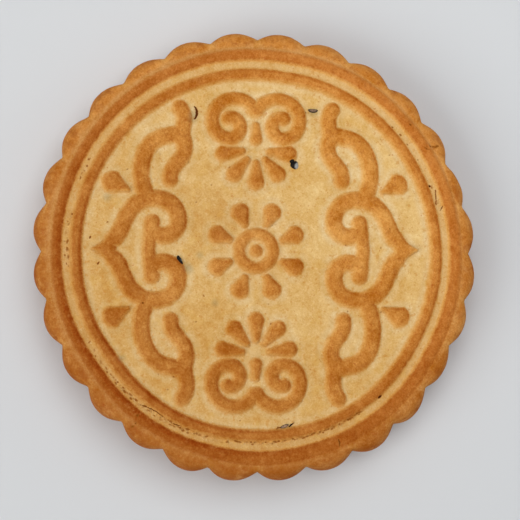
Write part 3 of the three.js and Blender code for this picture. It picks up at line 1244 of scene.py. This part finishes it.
    def _blemish(self, shaped: Array, face: Array) -> tuple[Array, Array]:
        """Sink the pits and cracks into the face.

        Args:
            shaped: Vertices, whose heights are changed.
            face: Which vertices belong to the face.

        Returns:
            Darkness of the pits and cracks, and greyness of the stains, at each vertex.
        """
        mark = np.zeros(len(shaped))
        stain = np.zeros(len(shaped))
        places = shaped[:, :2]
        upper = shaped[:, 2] > self.wall.belly_high

        def within(where: Array, middle: tuple[float, float], reach: float) -> Array:
            """Rows of the vertices within reach of a place, along both axes."""
            return np.flatnonzero(where & (np.abs(places - middle).max(axis=1) < reach))

        flaws = self.blemishes
        deep = (0.0, flaws.full_depth)
        pits = [(pit, face, pit.radius * pit.stretch, flaws.pit_dark) for pit in flaws.all_pits()]
        cracks = [(crack, upper, crack.length, flaws.crack_dark) for crack in flaws.cracks]
        for flaw, where, reach, dark in pits + cracks:
            near = within(where, flaw.place, reach)
            share = flaw.share(places[near])
            shaped[near, 2] -= flaw.depth * smooth_share(*deep, share)
            mark[near] = np.maximum(mark[near], flaw.darkness * smooth_share(*dark, share))
        for spot in flaws.stains:
            near = within(upper, spot.place, spot.fade * spot.radius * spot.stretch)
            stain[near] = np.maximum(stain[near], spot.share(places[near]))
        return mark, stain


@dataclass(frozen=True)
class Seed:
    """Black seed that broke through the crust, with a painted grey highlight on one side."""

    name: str
    place: tuple[float, float]
    turn: float
    half_length: float
    half_width: float
    proud: float
    # Direction and strength of the painted highlight
    patch: float
    highlight_strength: float
    narrowing: float = 0.35
    lift: float = 0.0
    # Share of the half width that the flatter long side has
    flat_side: float = 1.0
    # Strength of the brown husk on its upper side
    husk: float = 0.0


@dataclass(frozen=True)
class Seeds:
    """All the black seeds, in one piece."""

    seeds: tuple[Seed, ...] = (
        Seed("upper right seed", (19.25, 49.6), -3, 1.75, 1.05, 0.5, -100, 0.4, 0.1, 0.0, 0.3, 0.75),
        Seed("round seed", (12.65, 30.2), -50, 1.5, 1.45, 0.8, -20, 1.0, 0.05),
        Seed("round seed's shoulder", (11.75, 31.45), -50, 0.9, 0.85, 0.6, 60, 0.0, 0.1, 0.45),
        Seed("loop seed", (-26.6, -2.9), -57, 1.75, 0.75, 0.5, 30, 0.6, 0.3, 0.55),
        Seed("lower ring seed", (9.1, -59.1), 20, 1.5, 0.55, 0.5, 90, 0.3, 0.1, 0.35, 1.0, 1.0),
        Seed("lower ring chip", (11.35, -58.7), 40, 1.0, 0.28, 0.4, 90, 0.0, 0.2, 0.1),
    )
    around_steps: int = 20
    along_steps: int = 14
    lumpiness: float = 0.12
    lump_size: float = 0.8
    # Distance in the noise between one seed's lumps and the next one's
    lump_spacing: float = 9.0
    # The painted highlight faces upwards by this much for 1 sideways
    highlight_rise: float = 0.6
    field_shape: Field = Field()

    def build(self) -> bpy.types.Object:
        """Model the seeds.

        Returns:
            Their object.
        """
        mesh = bmesh.new()
        for name in ("patch", "husk"):
            mesh.verts.layers.float.new(name)
        for number, seed in enumerate(self.seeds):
            self._add(mesh, seed, number)
            log.debug("%s: %.1f mm long", seed.name, 2.0 * seed.half_length)
        seeds = add_object(mesh, "black_seeds", NODE + "_seeds")
        shade_smooth(seeds)
        return seeds

    def _add(self, mesh: bmesh.types.BMesh, seed: Seed, number: int) -> None:
        """One seed: a lumpy sphere drawn out to a point at one end and laid in its place.

        Args:
            mesh: Mesh that the seed is added to.
            seed: The seed.
            number: Its number, which makes its lumps its own.
        """
        patch, husk = (mesh.verts.layers.float[name] for name in ("patch", "husk"))
        made = bmesh.ops.create_uvsphere(
            mesh, u_segments=self.around_steps, v_segments=self.along_steps, radius=1.0
        )
        lie_down = Matrix.Rotation(math.radians(90), 3, "Y")
        turn = Matrix.Rotation(math.radians(seed.turn), 3, "Z")
        facing = Vector((*direction_vector(seed.patch), self.highlight_rise)).normalized()
        sizes = Vector((seed.half_length, seed.half_width, seed.proud))
        own_lumps = Vector((0, 0, self.lump_spacing * number))
        for vertex in made["verts"]:
            point = lie_down @ vertex.co
            slim = 1.0 - seed.narrowing * (0.5 + 0.5 * point.x)
            lump = 1.0 + self.lumpiness * noise.noise(point / self.lump_size + own_lumps)
            across = point.y * slim * (seed.flat_side if point.y > 0 else 1.0)
            shaped = turn @ Vector((point.x * sizes.x, across * sizes.y, point.z * slim * sizes.z))
            # patch: share of the painted highlight, on the side that faces the seed's highlight direction
            vertex[patch] = seed.highlight_strength * max(0.0, (turn @ point).dot(facing))
            vertex[husk] = seed.husk * max(0.0, point.z)
            vertex.co = shaped * lump
        height = float(self.field_shape.height(np.hypot(*seed.place))) + seed.lift
        place = Vector((seed.place[0] + RING_AXIS[0], seed.place[1] + RING_AXIS[1], height))
        bmesh.ops.translate(mesh, verts=made["verts"], vec=place)
        bmesh.ops.scale(mesh, verts=made["verts"], vec=(MM, MM, MM))


# Finishes


@dataclass(frozen=True)
class Grain:
    """Fractal noise with features of a size in millimetres."""

    size: float
    detail: float = 2.0
    roughness: float = 0.5
    seed: float = 0.0


class Signal:
    """Socket of a shader that takes part in Python expressions."""

    def __init__(self, shader: "Shader", socket: bpy.types.NodeSocket) -> None:
        """Keep the shader and the socket that carries the value."""
        self.shader = shader
        self.socket = socket

    def _math(self, operation: str, *values: "Signal | float") -> "Signal":
        """Result of a Math node on these values."""
        inputs = dict(enumerate(values))
        return self.shader.node("ShaderNodeMath", {"operation": operation}, inputs)

    def __add__(self, other: "Signal | float") -> "Signal":
        """Sum with another value."""
        return self._math("ADD", self, other)

    __radd__ = __add__

    def __mul__(self, other: "Signal | float") -> "Signal":
        """Product with another value."""
        return self._math("MULTIPLY", self, other)

    def __sub__(self, other: "Signal | float") -> "Signal":
        """This value less another."""
        return self._math("SUBTRACT", self, other)

    def __rsub__(self, other: float) -> "Signal":
        """A number less this value."""
        return self._math("SUBTRACT", other, self)

    def __truediv__(self, other: "Signal | float") -> "Signal":
        """This value divided by another."""
        return self._math("DIVIDE", self, other)

    def centred(self) -> "Signal":
        """A noise less its middle value."""
        return self - 0.5

    def at_least(self, floor: float) -> "Signal":
        """The larger of this value and a number."""
        return self._math("MAXIMUM", self, floor)

    def at_most(self, ceiling: float) -> "Signal":
        """The smaller of this value and a number."""
        return self._math("MINIMUM", self, ceiling)

    def ramp(self, span: Span) -> "Signal":
        """Share from 0 at the span's start to 1 at its end, with level ends."""
        inputs = {"Value": self, "From Min": span[0], "From Max": span[1]}
        return self.shader.node("ShaderNodeMapRange", {"interpolation_type": "SMOOTHSTEP"}, inputs)


class Shader:
    """Material under construction, with one method that makes any node."""

    def __init__(self, name: str) -> None:
        """Start an empty material.

        Args:
            name: The material's name.
        """
        self.material = bpy.data.materials.new(name)
        self.material.use_nodes = True
        self.tree = self.material.node_tree
        self.tree.nodes.clear()

    def node(self, kind: str, settings: dict, inputs: dict, output: int | str = 0) -> Signal:
        """Add a node.

        Args:
            kind: The node's type.
            settings: Its settings, made first.
            inputs: Values or signals of its sockets, by name or index.
            output: The output socket that the result carries.

        Returns:
            The chosen output as a signal.
        """
        made = self.tree.nodes.new(kind)
        for name, value in settings.items():
            setattr(made, name, value)
        for name, value in inputs.items():
            if isinstance(value, Signal):
                self.tree.links.new(value.socket, made.inputs[name])
            else:
                made.inputs[name].default_value = value
        return Signal(self, made.outputs[output])

    def vector(self, operation: str, inputs: dict) -> Signal:
        """Result of a Vector Math node."""
        return self.node("ShaderNodeVectorMath", {"operation": operation}, inputs)

    def attribute(self, name: str) -> Signal:
        """Number stored on the mesh."""
        return self.node("ShaderNodeAttribute", {"attribute_name": name}, {}, "Fac")

    def millimetres(self) -> Signal:
        """Object coordinates in millimetres."""
        where = self.node("ShaderNodeTexCoord", {}, {}, "Object")
        return self.vector("MULTIPLY", {0: where, 1: (1.0 / MM,) * 3})

    def grain(self, grain: Grain) -> Signal:
        """Noise from 0 to 1.

        Args:
            grain: Its size and kind.

        Returns:
            The noise.
        """
        inputs = {"Vector": self.millimetres(), "W": grain.seed, "Scale": 1.0 / grain.size}
        inputs.update({"Detail": grain.detail, "Roughness": grain.roughness})
        return self.node("ShaderNodeTexNoise", {"noise_dimensions": "4D"}, inputs, "Fac")

    def varied(self, colour: Signal, weights: tuple[float, float, float], amount: Signal) -> Signal:
        """Make a colour lighter or darker.

        Args:
            colour: The colour.
            weights: Weight of the change for each channel.
            amount: Size of the change.

        Returns:
            The changed colour.
        """
        weighted = self.vector("MULTIPLY", {0: colour, 1: weights})
        change = self.vector("SCALE", {0: weighted, "Scale": amount})
        return self.vector("ADD", {0: colour, 1: change})

    def mix(self, share: Signal, first: Signal | tuple, second: Signal | tuple) -> Signal:
        """Colour between two colours."""
        return self.node("ShaderNodeMix", {"data_type": "RGBA"}, {0: share, 6: first, 7: second}, 2)

    def bump(self, height: Signal, distance: float, strength: float) -> Signal:
        """Normal of a surface with a fine relief.

        Args:
            height: Height of the relief, as a share of the distance.
            distance: Greatest height in millimetres.
            strength: How much of it shows.

        Returns:
            The normal.
        """
        inputs = {"Strength": strength, "Distance": distance * MM, "Height": height}
        return self.node("ShaderNodeBump", {}, inputs, "Normal")

    def finish(self, surface: dict) -> bpy.types.Material:
        """Close the material with a Principled BSDF.

        Args:
            surface: Values or signals of its sockets.

        Returns:
            The finished material.
        """
        bsdf = self.node("ShaderNodeBsdfPrincipled", {}, surface)
        output = self.tree.nodes.new("ShaderNodeOutputMaterial")
        self.tree.links.new(bsdf.socket, output.inputs["Surface"])
        return self.material


@dataclass(frozen=True)
class Tone:
    """One colour of the crust on the pale side of the cake and on the darker, toasted one; the difference
    is partly toasting and partly painted light falloff.
    """

    fresh: Colour
    toasted: Colour

    def signal(self, toast: Signal) -> Signal:
        """The colour at a share of toasting."""
        return toast.shader.mix(toast, linear(self.fresh), linear(self.toasted))


@dataclass(frozen=True)
class Speckle:
    """Small irregular spots of one colour, strewn over part of the crust."""

    colour: Colour
    size: float
    threshold: float
    strength: float
    seed: float
    softness: float = 0.07
    roughness: float = 0.55

    def over(self, under: Signal) -> Signal:
        """Strew the spots over a colour.

        Args:
            under: The colour.

        Returns:
            The colour with the spots on it.
        """
        noise_value = under.shader.grain(Grain(self.size, roughness=self.roughness, seed=self.seed))
        share = noise_value.ramp((self.threshold, self.threshold + self.softness)) * self.strength
        return under.shader.mix(share, under, linear(self.colour))


@dataclass(frozen=True)
class Browning:
    """How the crust browns up a flank, by the distance inside its foot in millimetres."""

    # On the lit side it starts outside the foot, and ends well inside it; the paler lit flanks are partly
    # painted light
    lit_start: float = 1.0
    lit_end: float = 2.4
    # On the shaded side it starts later and ends sooner by this much; the sharp dark edge there is partly
    # painted shade
    shaded_start: float = 0.5
    shaded_end: float = 1.9
    # On a ring's lit flank it starts later by this much, and ends a millimetre sooner
    ring_start: float = 0.4
    # On the ornament's shaded flanks it starts further in, and a share of that goes to its end
    inwards: float = 0.45
    inwards_end: float = 0.4
    # Grains that make it ragged
    mottle: float = 0.5
    fine: float = 0.4

    def signal(self, edge: Signal, side: Signal, ring: Signal, mottle: Signal, fine: Signal) -> Signal:
        """Browning from 0 at its start to 1 at its end.

        Args:
            edge: Distance inside the foot.
            side: How far the flank faces the shaded side, from -1 to 1.
            ring: Tone of the ring, or 0 on the ornament.
            mottle: Middling grain about 0.
            fine: Fine grain about 0.

        Returns:
            The browning.
        """
        shaded = (side + 1.0) * 0.5
        lit_ring = ring * ring * (1.0 - shaded)
        inwards = shaded * (1.0 - ring) * self.inwards
        start = shaded * self.shaded_start - self.lit_start + lit_ring * self.ring_start + inwards
        end = self.lit_end - shaded * self.shaded_end - lit_ring + inwards * self.inwards_end
        ragged = mottle * self.mottle + fine * self.fine
        return (edge + ragged - start) / (end - start)


@dataclass(frozen=True)
class CrustFinish:
    """Baked wheat crust: pale in the recesses, browned on what stands up."""

    pale: Tone = Tone((228, 189, 121), (204, 154, 84))
    cream: Tone = Tone((225, 192, 136), (206, 165, 103))
    groove: Tone = Tone((219, 177, 114), (198, 149, 84))
    golden: Tone = Tone((221, 164, 86), (201, 140, 66))
    brown: Tone = Tone((212, 142, 62), (172, 103, 38))
    band: Tone = Tone((196, 120, 49), (157, 83, 22))
    # Deep brown of the flanks that face SHADED: partly browning, partly painted shade
    deep: Tone = Tone((199, 122, 46), (150, 66, 6))
    # Pale line along the crease: partly paler crust, partly a painted highlight
    seam: Tone = Tone((204, 148, 82), (200, 140, 74))
    lobe: Tone = Tone((203, 131, 56), (171, 101, 38))
    notch: Tone = Tone((210, 148, 72), (186, 122, 54))
    flank: Tone = Tone((214, 136, 54), (171, 96, 34))
    base: Tone = Tone((170, 101, 51), (152, 86, 43))
    burnt: Colour = (148, 84, 18)
    charred: Colour = (82, 34, 8)
    grey: Colour = (138, 124, 90)
    flecks: tuple[Speckle, ...] = (
        Speckle((216, 170, 94), 3.4, 0.52, 0.45, 13.0, 0.14),
        Speckle((204, 144, 68), 1.4, 0.6, 0.55, 11.0),
        Speckle((188, 112, 48), 0.9, 0.66, 0.6, 14.0),
        Speckle((234, 202, 146), 1.2, 0.6, 0.25, 12.0),
    )
    spots: tuple[Speckle, ...] = (
        Speckle((210, 146, 74), 2.0, 0.54, 0.22, 21.0, 0.16),
        Speckle((158, 82, 26), 1.9, 0.52, 0.3, 22.0, 0.16),
        Speckle((166, 74, 18), 1.0, 0.6, 0.4, 23.0),
    )
    lobe_patches: tuple[Speckle, ...] = (
        Speckle((160, 88, 36), 3.6, 0.5, 0.4, 31.0, 0.16),
        Speckle((212, 152, 82), 3.4, 0.54, 0.26, 32.0, 0.16),
    )
    # Each grain and its weight in the uneven toasting; the rings' slow grains weigh less
    broad: Grain = Grain(16.0)
    broad_weight: float = 0.8
    patchy: Grain = Grain(4.5, 3.0, 0.6, 2.0)
    patchy_weight: float = 0.7
    ring_calm: float = 0.5
    mottled: Grain = Grain(2.0, 3.0, 0.6, 3.0)
    mottled_weight: float = 0.65
    fine: Grain = Grain(0.62, 3.0, 0.7, 8.0)
    fine_weight: float = 0.85
    # Red, green and blue all fall where it is toasted more, least where nothing is browned
    variation: tuple[float, float, float] = (-0.48, -1.12, -2.7)
    least_variation: float = 0.45
    varied_from: Span = (0.2, 1.0)
    # Recesses are paler beside what stands up
    beside: Span = (-3.0, -0.9)
    beside_strength: float = 0.85
    browning: Browning = Browning()
    golden_over: Span = (0.0, 0.6)
    top_over: Span = (0.35, 1.0)
    # The deep tone lies on the flanks that face SHADED and fades towards the crests, later on the rings; it
    # is partly browning and partly painted shade
    crisp_over: Span = (0.0, 0.65)
    crisp_fading: Span = (0.5, 1.7)
    crisp_ring_delay: float = 1.0
    crisp_strength: float = 0.8
    crisp_on_rings: float = 0.4
    # Spans on the lobes, from crest to notch and from the crease down to the base
    notch_over: Span = (0.3, 1.0)
    notch_fading: Span = (0.1, 0.4)
    notch_strength: float = 0.7
    lobe_side: float = 0.22
    flank_over: Span = (0.08, 0.3)
    base_over: Span = (0.8, 1.0)
    seam_strength: float = 0.9
    burnt_over: Span = (0.0, 0.5)
    charred_over: Span = (0.45, 1.0)
    mark_strength: float = 0.9
    fine_relief: float = 0.28
    mottled_relief: float = 0.25
    relief_depth: float = 1.0
    relief_strength: float = 0.7
    roughness: float = 0.66
    roughness_swing: float = 0.2
    specular: float = 0.05

    def material(self) -> bpy.types.Material:
        """Build the crust's material.

        Returns:
            The finished material.
        """
        shader = Shader("baked crust")
        edge, side, ring = (shader.attribute(name) for name in ("edge", "side", "ring"))
        mottled = shader.grain(self.mottled)
        fine = shader.grain(self.fine)
        uneven = self._uneven(shader, ring, mottled, fine)
        # toast: darker towards the lower left, partly toasting and partly painted light falloff, plus
        # random unevenness
        toast = (shader.attribute("toast") + uneven).at_least(0.0).at_most(1.0)

        browning = self.browning.signal(edge, side, ring, mottled.centred(), fine.centred())
        recess = self._recess(edge, toast)
        golden = shader.mix(browning.ramp(self.golden_over), recess, self.golden.signal(toast))
        top = self._top(edge, side, ring, toast)
        colour = shader.mix(browning.ramp(self.top_over), golden, top)
        colour = shader.mix(shader.attribute("stain"), colour, linear(self.grey))
        mark = shader.attribute("mark")
        colour = shader.mix(mark.ramp(self.burnt_over) * self.mark_strength, colour, linear(self.burnt))
        colour = shader.mix(mark.ramp(self.charred_over) * self.mark_strength, colour, linear(self.charred))
        lively = self.least_variation + browning.ramp(self.varied_from) * (1.0 - self.least_variation)
        return shader.finish(
            {
                "Base Color": shader.varied(colour, self.variation, uneven * lively),
                "Roughness": self.roughness + fine.centred() * self.roughness_swing,
                "Specular IOR Level": self.specular,
                "Normal": shader.bump(
                    fine * self.fine_relief + mottled * self.mottled_relief,
                    self.relief_depth,
                    self.relief_strength,
                ),
            }
        )

    def _uneven(self, shader: Shader, ring: Signal, mottled: Signal, fine: Signal) -> Signal:
        """Unevenness of the toasting, about 0.

        Args:
            shader: The material's shader.
            ring: Tone of the ring, or 0 on the ornament.
            mottled: Middling grain.
            fine: Fine grain.

        Returns:
            The unevenness.
        """
        broad = shader.grain(self.broad).centred() * self.broad_weight
        patchy = shader.grain(self.patchy).centred() * self.patchy_weight
        slow = (broad + patchy) * (1.0 - ring * self.ring_calm)
        return slow + mottled.centred() * self.mottled_weight + fine.centred() * self.fine_weight

    def _recess(self, edge: Signal, toast: Signal) -> Signal:
        """Colour of the recesses.

        Args:
            edge: Distance inside the nearest foot.
            toast: Share of toasting.

        Returns:
            The colour.
        """
        shader = edge.shader
        beside = edge.ramp(self.beside) * self.beside_strength
        recess = shader.mix(beside, self.pale.signal(toast), self.cream.signal(toast))
        recess = shader.mix(shader.attribute("groove"), recess, self.groove.signal(toast))
        for fleck in self.flecks:
            recess = fleck.over(recess)
        return recess

    def _top(self, edge: Signal, side: Signal, ring: Signal, toast: Signal) -> Signal:
        """Colour of what stands up: ornament, rings and wall.

        Args:
            edge: Distance inside the foot.
            side: How far the surface faces the shaded side.
            ring: Tone of the ring, or 0 on the ornament.
            toast: Share of toasting.

        Returns:
            The colour.
        """
        shader = edge.shader
        wall = shader.attribute("wall")
        # Painted shade over real browning, on the flanks that face SHADED
        fading = (edge - ring * self.crisp_ring_delay).ramp(self.crisp_fading)
        strength = self.crisp_strength + ring * self.crisp_on_rings
        deep_and_painted_shade = side.ramp(self.crisp_over) * (1.0 - fading) * (1.0 - wall) * strength
        top = shader.mix(ring, self.brown.signal(toast), self.band.signal(toast))
        top = shader.mix(deep_and_painted_shade, top, self.deep.signal(toast))
        top = shader.mix(wall, top, self._lobes(side, toast))
        for spot in self.spots:
            top = spot.over(top)
        # Pale line along the crease, partly a painted highlight
        return shader.mix(shader.attribute("seam") * self.seam_strength, top, self.seam.signal(toast))

    def _lobes(self, side: Signal, toast: Signal) -> Signal:
        """Colour of the wall with its lobes.

        Args:
            side: How far the wall faces its pale side.
            toast: Share of toasting.

        Returns:
            The colour.
        """
        shader = side.shader
        fall = shader.attribute("fall")
        notch = shader.attribute("notch").ramp(self.notch_over) * (1.0 - fall.ramp(self.notch_fading))
        lobe_toast = (toast - side * self.lobe_side).at_least(0.0)
        lobe = self.lobe.signal(lobe_toast)
        lobe = shader.mix(notch * self.notch_strength, lobe, self.notch.signal(lobe_toast))
        lobe = shader.mix(fall.ramp(self.flank_over), lobe, self.flank.signal(lobe_toast))
        lobe = shader.mix(fall.ramp(self.base_over), lobe, self.base.signal(toast))
        for patch in self.lobe_patches:
            lobe = patch.over(lobe)
        return lobe


@dataclass(frozen=True)
class SeedFinish:
    """Black seed coat with a dull shine and a painted grey highlight on one side, or a brown husk."""

    black: Colour = (14, 11, 9)
    brown: Colour = (46, 32, 22)
    # Grey of the painted highlight
    painted_highlight: Colour = (164, 162, 156)
    husk: Colour = (164, 132, 106)
    brown_grain: Grain = Grain(0.5, 2.0, 0.6, 2.0)
    brown_over: Span = (0.5, 0.8)
    highlight_grain: Grain = Grain(0.6, 2.0, 0.6, 4.0)
    highlight_raggedness: float = 0.5
    highlight_over: Span = (0.45, 0.8)
    husk_grain: Grain = Grain(0.7, 2.0, 0.6, 6.0)
    husk_over: Span = (0.2, 1.0)
    husk_gaps: Span = (0.22, 0.5)
    relief_grain: Grain = Grain(0.25, 2.0, 0.6, 5.0)
    relief_depth: float = 0.05
    relief_strength: float = 0.4
    roughness: float = 0.5
    roughness_swing: float = 0.2
    specular: float = 0.14

    def material(self) -> bpy.types.Material:
        """Build the seeds' material.

        Returns:
            The finished material.
        """
        shader = Shader("black seed coat")
        browned = shader.grain(self.brown_grain).ramp(self.brown_over)
        ragged = shader.grain(self.highlight_grain).centred() * self.highlight_raggedness
        # Painted highlight, with a ragged edge
        painted_highlight = (shader.attribute("patch") + ragged).ramp(self.highlight_over)
        whole = shader.grain(self.husk_grain).ramp(self.husk_gaps)
        husk = shader.attribute("husk").ramp(self.husk_over) * whole
        colour = shader.mix(browned, linear(self.black), linear(self.brown))
        colour = shader.mix(husk, colour, linear(self.husk))
        relief = shader.grain(self.relief_grain)
        return shader.finish(
            {
                "Base Color": shader.mix(painted_highlight, colour, linear(self.painted_highlight)),
                "Roughness": self.roughness + relief * self.roughness_swing,
                "Specular IOR Level": self.specular,
                "Normal": shader.bump(relief, self.relief_depth, self.relief_strength),
            }
        )


@dataclass(frozen=True)
class FloorFinish:
    """Plain pale floor."""

    pale: Colour = (215, 217, 219)
    roughness: float = 0.9

    def material(self) -> bpy.types.Material:
        """Build the floor's material."""
        shader = Shader("pale floor")
        return shader.finish({"Base Color": linear(self.pale), "Roughness": self.roughness})


# Stage


@dataclass(frozen=True)
class SoftLight:
    """Square soft lamp that points at the cake."""

    name: str
    direction: float
    elevation: float
    distance: float
    size: float
    watts: float
    colour: tuple[float, float, float] = (1.0, 1.0, 1.0)

    def place(self, target: Vector) -> bpy.types.Object:
        """Hang the lamp.

        Args:
            target: Point that it shines at.

        Returns:
            Its object.
        """
        data = bpy.data.lights.new(self.name, "AREA")
        data.size = self.size
        data.energy = self.watts
        data.color = self.colour
        lamp = bpy.data.objects.new(self.name, data)
        bpy.context.scene.collection.objects.link(lamp)
        flat = direction_vector(self.direction) * math.cos(math.radians(self.elevation))
        back = Vector((flat[0], flat[1], math.sin(math.radians(self.elevation))))
        lamp.location = target + back * self.distance
        lamp.rotation_mode = "QUATERNION"
        lamp.rotation_quaternion = back.to_track_quat("Z", "Y")
        return lamp


@dataclass(frozen=True)
class PhotoCamera:
    """Camera that sees the cake as the photograph does."""

    lean: float = 6.0
    lean_direction: float = 44.0
    distance: float = 400.0
    mm_per_pixel: float = 0.3416
    pixels: int = 520
    sensor_width: float = 36.0
    target: tuple[float, float, float] = (0.70, -2.70, 22.5)
    nearest: float = 10.0
    farthest: float = 20000.0

    def target_point(self) -> Vector:
        """Point in the middle of the view, in metres."""
        x, y, z = self.target
        return Vector((x + RING_AXIS[0], y + RING_AXIS[1], z)) * MM

    def place(self) -> bpy.types.Object:
        """Set up the camera and make it the scene's own.

        Returns:
            Its object.
        """
        data = bpy.data.cameras.new("photo camera")
        data.sensor_width = self.sensor_width
        data.lens = self.sensor_width * self.distance / (self.mm_per_pixel * self.pixels)
        data.clip_start = self.nearest * MM
        data.clip_end = self.farthest * MM
        camera = bpy.data.objects.new("photo camera", data)
        bpy.context.scene.collection.objects.link(camera)
        sideways = direction_vector(self.lean_direction) * math.sin(math.radians(self.lean))
        back = Vector((-sideways[0], -sideways[1], math.cos(math.radians(self.lean))))
        right = (-back).cross(Vector((0, 1, 0))).normalized()
        up = right.cross(-back)
        turn = Matrix((right, up, back)).transposed()
        where = self.target_point() + back * self.distance * MM
        camera.matrix_world = Matrix.Translation(where) @ turn.to_4x4()
        bpy.context.scene.camera = camera
        return camera


@dataclass(frozen=True)
class Stage:
    """Floor, lights and camera."""

    floor_half: float = 1.5
    floor_cells: int = 4
    floor_finish: FloorFinish = FloorFinish()
    camera: PhotoCamera = PhotoCamera()
    lights: tuple[SoftLight, ...] = (
        SoftLight("window", 210, 42, 2.0, 1.3, 19.0, (1.0, 0.985, 0.96)),
        SoftLight("ceiling", 70, 72, 0.5, 0.35, 1.1),
        SoftLight("fill", 10, 24, 2.0, 1.0, 1.8),
    )
    sky: tuple[float, float, float] = (0.96, 0.98, 1.0)
    sky_strength: float = 0.36

    def build(self) -> None:
        """Lay the floor, hang the lights and place the camera."""
        mesh = bmesh.new()
        cells = self.floor_cells
        bmesh.ops.create_grid(mesh, x_segments=cells, y_segments=cells, size=self.floor_half)
        floor = add_object(mesh, "floor", "floor")
        floor.data.materials.append(self.floor_finish.material())
        self.camera.place()
        for light in self.lights:
            light.place(self.camera.target_point())
        world = bpy.data.worlds.new("studio")
        world.use_nodes = True
        background = world.node_tree.nodes["Background"]
        background.inputs["Color"].default_value = (*self.sky, 1.0)
        background.inputs["Strength"].default_value = self.sky_strength
        bpy.context.scene.world = world
        bpy.context.scene.view_settings.view_transform = "Standard"


def add_piece(piece: bpy.types.Object, material: bpy.types.Material) -> None:
    """Dress a piece, set it on the cake's body and report it.

    Args:
        piece: The piece.
        material: Its material.
    """
    piece.data.materials.append(material)
    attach(piece, BODY)
    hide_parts(NODE)
    triangles = sum(len(face.vertices) - 2 for face in piece.data.polygons)
    log.info("%s: %d triangles", piece.name, triangles)


def main() -> None:
    """Build the cake and the stage."""
    logging.basicConfig(level=logging.INFO, format="%(name)s: %(message)s")
    add_piece(Crust().build(), CrustFinish().material())
    add_piece(Seeds().build(), SeedFinish().material())
    Stage().build()


if __name__ == "__main__":
    main()
